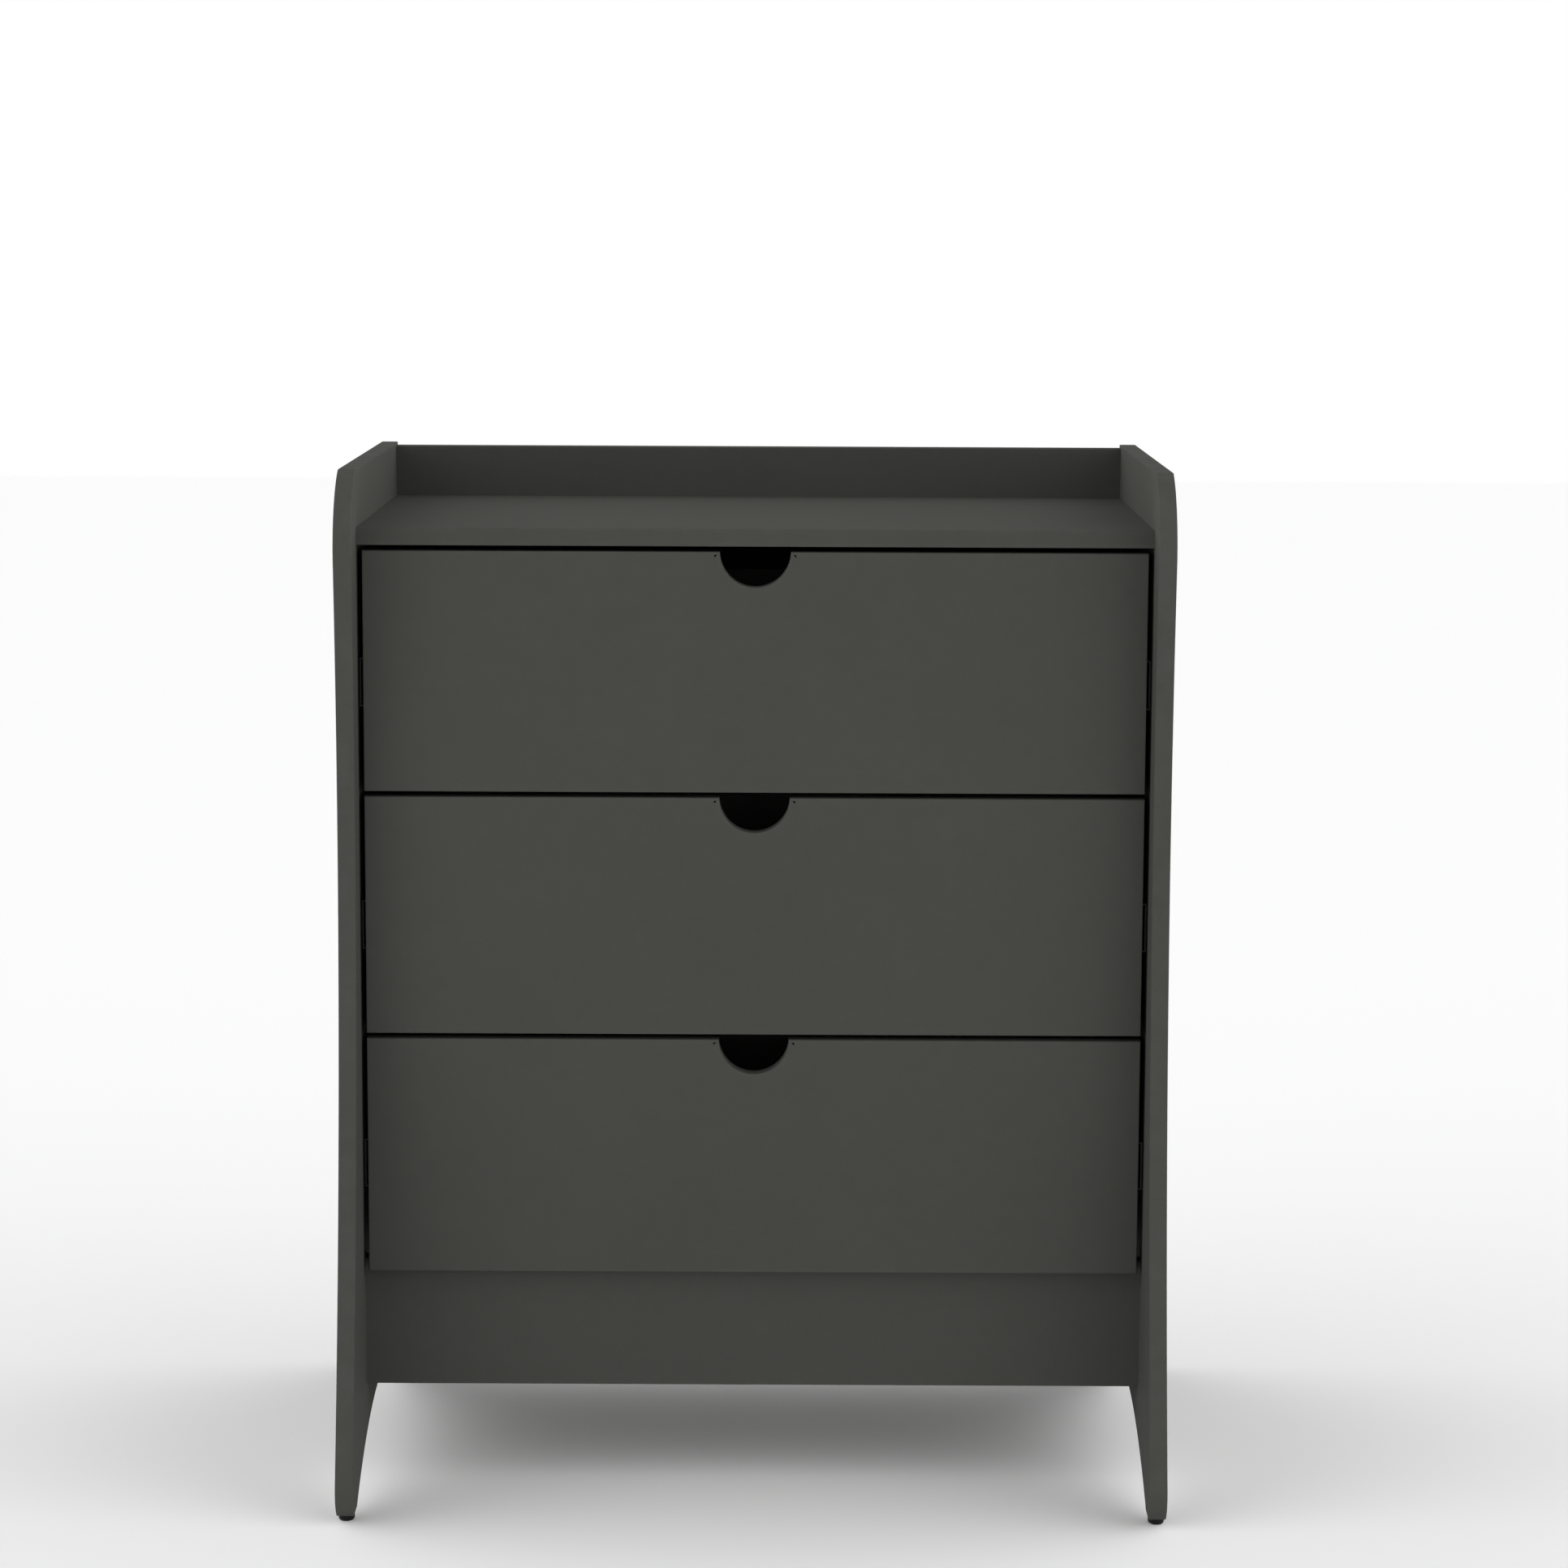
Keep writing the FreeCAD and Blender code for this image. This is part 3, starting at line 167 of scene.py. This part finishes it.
def slab(outline, low, high, arris, band, steps=4):
    """
    A board: an anticlockwise outline carried from low to high. Its edge is a quarter circle of the arris
    radius r at each face: at the angle a the outline is moved in by r (1 - sin a) and stands r (1 - cos a)
    from the face. A ring at the width of the band keeps the paler edge (rubbed wear and painted highlight)
    apart from the flat face. Returns points (u, v, w), quads, the two flat faces, and how near to the edge
    each point is, as the mask of that paler edge.
    """
    turn = np.linspace(0, math.pi / 2, steps + 1)
    inset = np.concatenate(([band, band / 2], arris * (1 - np.sin(turn))))
    depth = np.concatenate(([0, 0], arris * (1 - np.cos(turn))))
    # Mask of the paler edge (rubbed wear and painted highlight): none at the band, full on the arris.
    wear_and_highlight = np.concatenate(([0, WEAR_AND_HIGHLIGHT_INSIDE_BAND], np.ones(steps + 1)))
    inset = np.concatenate((inset, inset[::-1]))
    level = np.concatenate((low + depth, (high - depth)[::-1]))
    wear_and_highlight = np.concatenate((wear_and_highlight, wear_and_highlight[::-1]))
    rings = outline[None, :, :] - inset[:, None, None] * mitres(outline)[None, :, :]
    heights = np.broadcast_to(level[:, None, None], rings.shape[:2] + (1,))
    points = np.concatenate((rings, heights), axis=2).reshape(-1, 3)
    count = len(outline)
    quads = grid_faces(len(level), count, closed=True)
    caps = [list(range(count))[::-1], list(range(len(points) - count, len(points)))]
    return points, quads.tolist(), caps, np.repeat(wear_and_highlight, count)


def turned(profile, centre, count=96):
    """
    A surface of revolution about the upright line through a centre: the profile's radius and height carried
    round a full turn, closed by a small flat face at each end.
    """
    turn = np.linspace(0, 2 * math.pi, count, endpoint=False)
    radius, height = np.asarray(profile, float).T
    ring = np.stack((np.cos(turn), np.sin(turn), np.zeros(count)), axis=-1)
    points = radius[:, None, None] * ring + height[:, None, None] * (0, 0, 1) + np.asarray(centre)
    last = (len(radius) - 1) * count
    caps = [list(range(count))[::-1], list(range(last, last + count))]
    return points.reshape(-1, 3), grid_faces(len(radius), count, closed=True).tolist(), caps


def mesh_piece(name, points, smooth_faces, flat_faces, wear_and_highlight=None):
    """A mesh object from points in place.

    Flat faces keep one normal each, and the others are smooth up to an angle.
    """
    mesh = bpy.data.meshes.new(name)
    mesh.from_pydata(points.tolist(), [], smooth_faces + flat_faces)
    smooth = np.zeros(len(mesh.polygons), bool)
    smooth[:len(smooth_faces)] = True
    mesh.polygons.foreach_set("use_smooth", smooth)
    mesh.set_sharp_from_angle(angle=SMOOTH_LIMIT)
    # The edge mask, which places the paler edge of rubbed wear and painted highlight.
    if wear_and_highlight is not None:
        mesh.attributes.new("wear_and_highlight", "FLOAT", "POINT").data.foreach_set("value", wear_and_highlight.astype(np.float32))
    mesh.update()
    piece = bpy.data.objects.new(name, mesh)
    bpy.context.scene.collection.objects.link(piece)
    return piece


def across_x(points):
    """Points (u, v, w) of a board that stands across X, drawn in (Y, Z)."""
    return points[:, [2, 0, 1]]


def across_y(points):
    """Points of a board that stands across Y, drawn in (X, Z) as seen from the front."""
    return points[:, [0, 2, 1]] * (1, -1, 1)


def install(piece, material, body, slot, *replaced):
    """Give a finished piece its material and its body, and hide the CAD nodes it stands for; the slot is not
    used.
    """
    piece.data.materials.clear()
    piece.data.materials.append(material)
    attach(piece, body)
    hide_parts(*replaced)
    return piece


def paint(material, *names):
    """Give CAD nodes a material in every slot."""
    for name in names:
        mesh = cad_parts[name].data
        mesh.materials.clear()
        mesh.materials.append(material)


# ---- shaders ---------------------------------------------------------------------------------------------

class Value:
    """A number socket of a node tree; its operators add Math nodes."""

    def __init__(self, shader, socket):
        self.shader = shader
        self.socket = socket

    def maths(self, operation, first, second):
        return self.shader.node("ShaderNodeMath", {"operation": operation}, {0: first, 1: second})

    def __add__(self, other):
        return self.maths("ADD", self, other)

    def __sub__(self, other):
        return self.maths("SUBTRACT", self, other)

    def __rsub__(self, other):
        return self.maths("SUBTRACT", other, self)

    def __mul__(self, other):
        return self.maths("MULTIPLY", self, other)

    __radd__ = __add__
    __rmul__ = __mul__


class Shader:
    """The nodes of a material or a world, fed by expressions."""

    def __init__(self, owner, surface, place):
        owner.use_nodes = True
        self.owner = owner
        self.tree = owner.node_tree
        self.surface = self.tree.nodes[surface]
        self.place = self.node("ShaderNodeTexCoord", {}, {}, place)

    def node(self, kind, settings, inputs, output=0):
        """A node of any type: its settings come first, then the values or links of its sockets."""
        made = self.tree.nodes.new(kind)
        for key, value in settings.items():
            setattr(made, key, value)
        for key, value in inputs.items():
            if isinstance(value, Value):
                self.tree.links.new(value.socket, made.inputs[key])
            else:
                made.inputs[key].default_value = value
        return Value(self, made.outputs[output])

    def noise(self, scale, detail=2.0, rough=0.5, place=None):
        """A cloudy number around one half, with so many features to the metre."""
        return self.node("ShaderNodeTexNoise", {}, {
            "Vector": place or self.place, "Scale": scale, "Detail": detail, "Roughness": rough}, "Fac")

    def streaks(self, scales, detail):
        """Noise with so many features to the metre along each axis."""
        place = self.node("ShaderNodeMapping", {}, {"Vector": self.place, "Scale": scales})
        return self.noise(1.0, detail, 0.6, place)

    def distance(self, place, centre):
        return self.node("ShaderNodeVectorMath", {"operation": "DISTANCE"}, {0: place, 1: centre}, "Value")

    def near_lines(self, lines, band):
        """One on the lines along X that are given by (Y, Z), falling to nothing at the band's width."""
        across = (0.0, 1.0, 1.0)
        flat = self.node("ShaderNodeVectorMath", {"operation": "MULTIPLY"}, {0: self.place, 1: across})
        distances = [self.distance(flat, (0.0, y, z)) for y, z in lines]
        nearest = distances[0]
        for away in distances[1:]:
            nearest = away.maths("MINIMUM", away, nearest)
        return self.fade(nearest, 0.2 * band, band, 1.0, 0.0)

    def fade(self, value, start, end, low=0.0, high=1.0):
        """A smooth step of a value from low at start to high at end."""
        return self.node("ShaderNodeMapRange", {"interpolation_type": "SMOOTHSTEP"}, {
            "Value": value, "From Min": start, "From Max": end, "To Min": low, "To Max": high})

    def mix(self, factor, first, second, blend="MIX"):
        """A colour between two colours, or the first one blended with the second."""
        return self.node("ShaderNodeMix", {"data_type": "RGBA", "blend_type": blend}, {
            0: factor, 6: rgba(first), 7: rgba(second)}, 2)

    def attribute(self, name):
        return self.node("ShaderNodeAttribute", {"attribute_name": name}, {}, "Fac")

    def bump(self, height, distance, strength, below=None):
        """A relief of a height in metres, laid over the relief below it."""
        inputs = {"Height": height, "Distance": distance, "Strength": strength}
        if below:
            inputs["Normal"] = below
        return self.node("ShaderNodeBump", {}, inputs, "Normal")

    def set(self, **values):
        """Values and links of the surface's own sockets, whose names are written with underscores."""
        for key, value in values.items():
            socket = self.surface.inputs[key.replace("_", " ")]
            if isinstance(value, Value):
                self.tree.links.new(value.socket, socket)
            else:
                socket.default_value = value
        return self.owner


def principled(name):
    return Shader(bpy.data.materials.new(name), "Principled BSDF", "Object")


def rgba(value):
    return value if isinstance(value, Value) else (*value, 1.0)


def scaled(base, factor):
    return tuple(min(1.0, part * factor) for part in base)


def toned(shader, factor, base, darker, lighter):
    """A colour that drifts between a darker and a lighter share of a base colour."""
    return shader.mix(factor, scaled(base, darker), scaled(base, lighter))


def lacquer(name, handled=(), edges=()):
    """
    Matt lacquer on fibreboard: broad faint clouds, a finer mottle, a fine orange peel, a powdery speckle,
    edges a little paler, partly rubbed wear and partly a painted highlight, and around each handled place a
    slightly polished patch. The edges are lines along X given by (Y, Z); without them the piece's own
    attribute of edge nearness says where its edges are.
    """
    finish = bpy.context.scene.chest_finish
    shader = principled(name)
    clouds = shader.noise(5.0, 3.0)
    mottle = shader.noise(70.0, 3.0, 0.6)
    speckle = shader.noise(1100.0, 3.0, 0.7)
    base = toned(shader, clouds * 0.6 + mottle * 0.4, finish.lacquer, 0.88, 1.12)
    base = shader.mix(1.0, base, shader.mix(speckle, (0.90, 0.90, 0.90), (1.10, 1.10, 1.10)), "MULTIPLY")
    edge = shader.near_lines(edges, bpy.context.scene.chest_boards.worn_band) if edges else (
        shader.attribute("wear_and_highlight"))
    worn = edge * shader.fade(shader.noise(45.0, 4.0, 0.65), 0.35, 0.75)
    # Paler edge colour in patches: partly rubbed wear, partly a painted highlight along the edges.
    base = shader.mix(worn * 0.55, base, finish.lacquer_rubbed_and_highlit)
    roughness = finish.lacquer_roughness + (clouds - 0.5) * 0.08 + (speckle - 0.5) * 0.05 - worn * 0.08
    for centre in handled:
        touched = shader.fade(shader.distance(shader.place, centre), 0.035, 0.11, 1.0, 0.0)
        smudge = touched * shader.fade(shader.noise(60.0, 4.0, 0.6), 0.35, 0.7)
        roughness = roughness - smudge * 0.07
    peel = shader.bump(shader.noise(420.0, 1.0), 0.00006, 0.5)
    grain = shader.bump(speckle, 0.00002, 0.5, peel)
    return shader.set(Base_Color=base, Roughness=roughness, Normal=grain, Specular_IOR_Level=0.05)


def hardboard(name, tone):
    """Thin lacquered hardboard: the lacquer shows a soft tangle of fibres."""
    shader = principled(name)
    fibres = shader.noise(900.0, 5.0, 0.75)
    mottle = shader.noise(28.0, 3.0, 0.6)
    base = toned(shader, fibres * 0.6 + mottle * 0.4, tone, 0.82, 1.18)
    roughness = 0.58 + (mottle - 0.5) * 0.12
    relief = shader.bump(fibres, 0.00008, 0.5)
    return shader.set(Base_Color=base, Roughness=roughness, Normal=relief, Specular_IOR_Level=0.30)


def melamine(name):
    """Melamine-faced particle board with short pores along the board."""
    finish = bpy.context.scene.chest_finish
    shader = principled(name)
    pores = shader.streaks((900.0, 60.0, 900.0), 3.0)
    mottle = shader.noise(14.0, 2.0)
    base = toned(shader, pores * 0.5 + mottle * 0.5, finish.melamine, 0.86, 1.14)
    roughness = 0.50 + (pores - 0.5) * 0.16
    relief = shader.bump(pores, 0.00006, 0.6)
    return shader.set(Base_Color=base, Roughness=roughness, Normal=relief, Specular_IOR_Level=0.35)


def dipped_steel(name):
    """Black dip-painted strip steel: rolling streaks along Y show through slightly cloudy paint."""
    finish = bpy.context.scene.chest_finish
    shader = principled(name)
    streaks = shader.streaks((1600.0, 24.0, 1600.0), 4.0)
    clouds = shader.noise(90.0, 3.0, 0.6)
    base = toned(shader, streaks * 0.5 + clouds * 0.5, finish.slide_paint, 0.7, 1.3)
    roughness = 0.34 + (streaks - 0.5) * 0.12 + (clouds - 0.5) * 0.12
    relief = shader.bump(streaks, 0.00003, 0.5)
    return shader.set(Base_Color=base, Roughness=roughness, Normal=relief)


def plated_steel(name):
    """Zinc-plated turned steel, slightly cloudy."""
    finish = bpy.context.scene.chest_finish
    shader = principled(name)
    clouds = shader.noise(260.0, 3.0, 0.6)
    base = toned(shader, clouds, finish.zinc, 0.78, 1.08)
    relief = shader.bump(shader.noise(3000.0, 2.0), 0.00002, 0.5)
    return shader.set(Base_Color=base, Roughness=0.28 + clouds * 0.14, Normal=relief, Metallic=1.0)


def die_casting(name):
    """Dull die-cast zinc with the fine grit of its mould."""
    finish = bpy.context.scene.chest_finish
    shader = principled(name)
    grit = shader.noise(1900.0, 4.0, 0.7)
    clouds = shader.noise(140.0, 3.0)
    base = toned(shader, clouds * 0.6 + grit * 0.4, finish.casting, 0.75, 1.15)
    relief = shader.bump(grit, 0.00006, 0.7)
    return shader.set(Base_Color=base, Roughness=0.42 + (grit - 0.5) * 0.2, Normal=relief, Metallic=1.0)


def beech(name):
    """Raw beech with short dark rays."""
    finish = bpy.context.scene.chest_finish
    shader = principled(name)
    rays = shader.streaks((300.0, 2200.0, 2200.0), 3.0)
    base = toned(shader, shader.fade(rays, 0.4, 0.7), finish.beech, 1.0, 0.62)
    relief = shader.bump(rays, 0.00008, 0.6)
    return shader.set(Base_Color=base, Roughness=0.6 + (rays - 0.5) * 0.15, Normal=relief)


def moulded_plastic(name):
    """Black moulded plastic with a fine spark-eroded texture."""
    finish = bpy.context.scene.chest_finish
    shader = principled(name)
    texture = shader.noise(2400.0, 3.0, 0.7)
    scuffs = shader.fade(shader.noise(130.0, 4.0, 0.7), 0.55, 0.8)
    base = shader.mix(scuffs * 0.5, finish.plastic, (0.03, 0.03, 0.03))
    roughness = 0.42 + (texture - 0.5) * 0.15 + scuffs * 0.12
    relief = shader.bump(texture, 0.00004, 0.6)
    return shader.set(Base_Color=base, Roughness=roughness, Normal=relief, Specular_IOR_Level=0.12)


# ---- boards ----------------------------------------------------------------------------------------------

def side_outline(settings, low, high):
    """
    The side panel's outline in (Y, Z), anticlockwise as seen from the right. The toe, the hollow front curve
    and the shoulder are arcs, each tangent to the next: their centres are apart by the sum of their radii.
    """
    rear, foot, top, front = high.y, low.z, high.z, low.y
    toe = (front + settings.toe_radius, settings.toe_level)
    reach = settings.curve_radius + settings.toe_radius
    drop = settings.curve_level - settings.toe_level
    curve = (toe[0] - math.sqrt(reach ** 2 - drop ** 2), settings.curve_level)
    reach = settings.curve_radius + settings.shoulder_radius
    rise = settings.shoulder_level - settings.curve_level
    shoulder = (curve[0] + math.sqrt(reach ** 2 - rise ** 2), settings.shoulder_level)
    toe_turn = math.degrees(math.asin(drop / (settings.curve_radius + settings.toe_radius)))
    shoulder_turn = math.degrees(math.asin(rise / reach))
    sole_turn = math.degrees(math.asin((toe[1] - foot) / settings.toe_radius))
    arch = (0.0, settings.arch_crown - settings.arch_radius)
    heel_turn = math.degrees(math.asin((foot - arch[1]) / settings.arch_radius))

    # The corner's arc touches the top edge from below and the shoulder from inside.
    corner_level = top - settings.corner_radius
    inner_reach = settings.shoulder_radius - settings.corner_radius
    corner_turn = math.degrees(math.asin((corner_level - shoulder[1]) / inner_reach))
    corner = (shoulder[0] - inner_reach * math.cos(math.radians(corner_turn)), corner_level)
    return np.concatenate((
        [(rear, foot), (rear, top)],
        arc(corner, settings.corner_radius, 90, 180 - corner_turn, 10),
        arc(shoulder, settings.shoulder_radius, 180 - corner_turn, 180 + shoulder_turn, 40)[1:],
        arc(curve, settings.curve_radius, shoulder_turn, -toe_turn, 120)[1:],
        arc(toe, settings.toe_radius, 180 - toe_turn, 180 + sole_turn, 24)[1:],
        arc(arch, settings.arch_radius, 180 - heel_turn, heel_turn, 80),
    ))


def front_outline(low, high, radius):
    """A drawer front in (X, Z): a rectangle with a half circle cut out of the middle of its upper edge."""
    return np.concatenate((
        [(low.x, low.z), (high.x, low.z), (high.x, high.z)],
        arc((0.0, high.z), radius, 0, -180, 48),
        [(low.x, high.z)],
    ))


def make_side_boards(material):
    settings = bpy.context.scene.chest_boards
    for side in SIDES:
        node = f"side_panel_{side}"
        low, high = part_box(node)
        outline = side_outline(settings, low, high)
        points, quads, caps, wear_and_highlight = slab(outline, low.x, high.x, settings.arris, settings.worn_band)
        piece = mesh_piece(f"side_board_{side}", across_x(points), quads, caps, wear_and_highlight)
        install(piece, material, "carcass", "lacquered_board", node)


def exposed_edges():
    """(Y, Z) of the free edges, parallel to X, of the boards between the side panels."""
    top, rail, apron, stretcher = (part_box(node) for node in CROSS_BOARDS)
    return [(top[0].y, top[0].z), (top[0].y, top[1].z), (rail[0].y, rail[1].z), (rail[1].y, rail[1].z),
            (apron[0].y, apron[0].z), (apron[1].y, apron[0].z), (stretcher[0].y, stretcher[0].z),
            (stretcher[1].y, stretcher[0].z)]


def make_glides(material):
    """
    Each glide is a turned profile in millimetres of radius and height: a slightly dished sole, a quarter
    circle as its lower edge, a plain band, a fine groove and a rounded upper lip.
    """
    sole = [(0.3, 0.4), (2.6, 0.4), (3.0, 0.1), (3.4, 0.0)]
    lower_edge = arc((4.9, 2.5), 2.5, -90, 0, 12)
    groove = [(7.4, 5.4), (7.1, 5.7), (7.1, 5.95)]
    lip = arc((7.1, 6.5), 0.4, -45, 90, 8)
    profile = np.concatenate((sole, lower_edge, groove, lip, [(0.3, 6.9)])) / 1000
    for end in ("front", "rear"):
        for side in SIDES:
            node = f"glide_{end}_{side}"
            low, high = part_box(node)
            centre = ((low.x + high.x) / 2, (low.y + high.y) / 2, low.z)
            piece = mesh_piece(f"foot_glide_{end}_{side}", *turned(profile, centre))
            install(piece, material, "carcass", "glide_plastic", node)


def make_drawer_fronts():
    settings = bpy.context.scene.chest_boards
    for number, place in DRAWERS.items():
        node = f"drawer_front_{number}"
        low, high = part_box(node)
        outline = front_outline(low, high, settings.cutout_radius)
        points, quads, caps, wear_and_highlight = slab(outline, -high.y, -low.y, settings.arris, settings.worn_band)
        piece = mesh_piece(f"drawer_face_{number}", across_y(points), quads, caps, wear_and_highlight)
        material = lacquer(f"drawer_face_lacquer_{number}", [(0.0, low.y, high.z)])
        install(piece, material, f"{place}_drawer", "lacquered_board", node)


# ---- stage -----------------------------------------------------------------------------------------------

def make_camera(stage):
    """The view from the front: a small lens shift and a downward tilt share the lowering of the view."""
    data = bpy.data.cameras.new("camera")
    data.lens = stage.lens
    data.sensor_width = 36.0
    data.shift_y = -stage.shift
    data.clip_end = 100.0
    camera = bpy.data.objects.new("camera", data)
    bpy.context.scene.collection.objects.link(camera)
    camera.location = (stage.camera_side, -stage.camera_distance, stage.camera_height)
    facing = Matrix.Rotation(math.pi / 2 - stage.camera_tilt, 4, "X")
    camera.rotation_euler = (facing @ Matrix.Rotation(stage.camera_roll, 4, "Z")).to_euler()
    bpy.context.scene.camera = camera


def make_floor(stage):
    """A wide pale floor whose tone drifts very slightly."""
    half = 12.0
    corners = np.array([(-half, -half, 0.0), (half, -half, 0.0), (half, half, 0.0), (-half, half, 0.0)])
    floor = mesh_piece("floor", corners, [], [[0, 1, 2, 3]])
    shader = principled("pale_floor")
    drift = shader.noise(0.8, 2.0)
    floor.data.materials.append(shader.set(
        Base_Color=shader.mix(drift, scaled(stage.floor, 0.995), stage.floor), Roughness=0.8,
        Specular_IOR_Level=0.1))


def make_surroundings(stage):
    """
    Even light from every direction and, added to it, light in proportion to the square of the direction's X
    component, as from two broad screens at the sides. The camera sees a plain background.
    """
    world = bpy.data.worlds.new("studio")
    shader = Shader(world, "Background", "Generated")
    sideways = shader.node("ShaderNodeSeparateXYZ", {}, {"Vector": shader.place}, "X")
    light = stage.light_all_round + stage.light_from_sides * sideways * sideways
    seen = shader.node("ShaderNodeLightPath", {}, {}, "Is Camera Ray")
    shader.set(Color=(*stage.background, 1.0), Strength=light + seen * (1 - light))
    bpy.context.scene.world = world
    bpy.context.scene.view_settings.view_transform = "Standard"


# ---- operators -------------------------------------------------------------------------------------------

class CHEST_OT_boards(bpy.types.Operator):
    """Make the lacquered boards of the carcass"""
    bl_idname = "chest.boards"
    bl_label = "Carcass Boards"

    def execute(self, context):
        make_side_boards(lacquer("side_lacquer"))
        paint(lacquer("cross_board_lacquer", edges=exposed_edges()), *CROSS_BOARDS)
        paint(hardboard("back_hardboard", context.scene.chest_finish.sheet), "back_panel")
        return {"FINISHED"}


class CHEST_OT_drawers(bpy.types.Operator):
    """Make the drawer fronts and finish the drawer boxes"""
    bl_idname = "chest.drawers"
    bl_label = "Drawers"

    def execute(self, context):
        make_drawer_fronts()
        box = melamine("box_melamine")
        bottom = hardboard("bottom_hardboard", context.scene.chest_finish.box_sheet)
        for number in DRAWERS:
            paint(box, *(f"drawer_{part}_{number}" for part in ("side_left", "side_right", "back")))
            paint(bottom, f"drawer_bottom_{number}")
        return {"FINISHED"}


class CHEST_OT_slides(bpy.types.Operator):
    """Finish the telescopic slides"""
    bl_idname = "chest.slides"
    bl_label = "Telescopic Slides"

    def execute(self, context):
        sheet = dipped_steel("slide_paint")
        for number in DRAWERS:
            paint(sheet, *(f"slide_{part}_{number}" for part in ("outer", "middle", "inner", "cages")))
        return {"FINISHED"}


class CHEST_OT_fittings(bpy.types.Operator):
    """Finish the cams, bolts, dowels and screws"""
    bl_idname = "chest.fittings"
    bl_label = "Fittings"

    def execute(self, context):
        steel = plated_steel("fitting_steel")
        casting = die_casting("cam_casting")
        paint(casting, "carcass_cams")
        paint(beech("dowel_beech"), "carcass_dowels")
        paint(steel, "carcass_cam_bolts", "glide_stems", "slide_screws_cabinet")
        for number in DRAWERS:
            paint(casting, f"drawer_cams_{number}")
            paint(steel, f"drawer_cam_bolts_{number}", f"drawer_back_screws_{number}",
                  f"slide_screws_drawer_{number}")
        return {"FINISHED"}


class CHEST_OT_glides(bpy.types.Operator):
    """Make the glides under the feet"""
    bl_idname = "chest.glides"
    bl_label = "Glides"

    def execute(self, context):
        make_glides(moulded_plastic("glide_plastic"))
        return {"FINISHED"}


class CHEST_OT_stage(bpy.types.Operator):
    """Make the floor, the soft light and the camera"""
    bl_idname = "chest.stage"
    bl_label = "Stage"

    def execute(self, context):
        stage = context.scene.chest_stage
        make_camera(stage)
        make_surroundings(stage)
        make_floor(stage)
        return {"FINISHED"}


class CHEST_PT_panel(bpy.types.Panel):
    bl_label = "Bedside Chest"
    bl_idname = "CHEST_PT_panel"
    bl_space_type = "VIEW_3D"
    bl_region_type = "UI"
    bl_category = "Chest"

    def draw(self, context):
        for operator in OPERATORS:
            self.layout.operator(operator.bl_idname)
        for name in SETTINGS:
            settings = getattr(context.scene, name)
            box = self.layout.box()
            for key in settings.__annotations__:
                box.prop(settings, key)


SETTINGS = {"chest_boards": BoardSettings, "chest_finish": FinishSettings, "chest_stage": StageSettings}
OPERATORS = (CHEST_OT_boards, CHEST_OT_drawers, CHEST_OT_slides, CHEST_OT_fittings, CHEST_OT_glides,
             CHEST_OT_stage)


def register():
    for name, group in SETTINGS.items():
        bpy.utils.register_class(group)
        setattr(bpy.types.Scene, name, bpy.props.PointerProperty(type=group))
    for item in OPERATORS + (CHEST_PT_panel,):
        bpy.utils.register_class(item)


def unregister():
    for item in (CHEST_PT_panel,) + OPERATORS[::-1]:
        bpy.utils.unregister_class(item)
    for name, group in SETTINGS.items():
        delattr(bpy.types.Scene, name)
        bpy.utils.unregister_class(group)


def main():
    register()
    bpy.ops.chest.boards()
    bpy.ops.chest.drawers()
    bpy.ops.chest.slides()
    bpy.ops.chest.fittings()
    bpy.ops.chest.glides()
    bpy.ops.chest.stage()


if __name__ == "__main__":
    main()
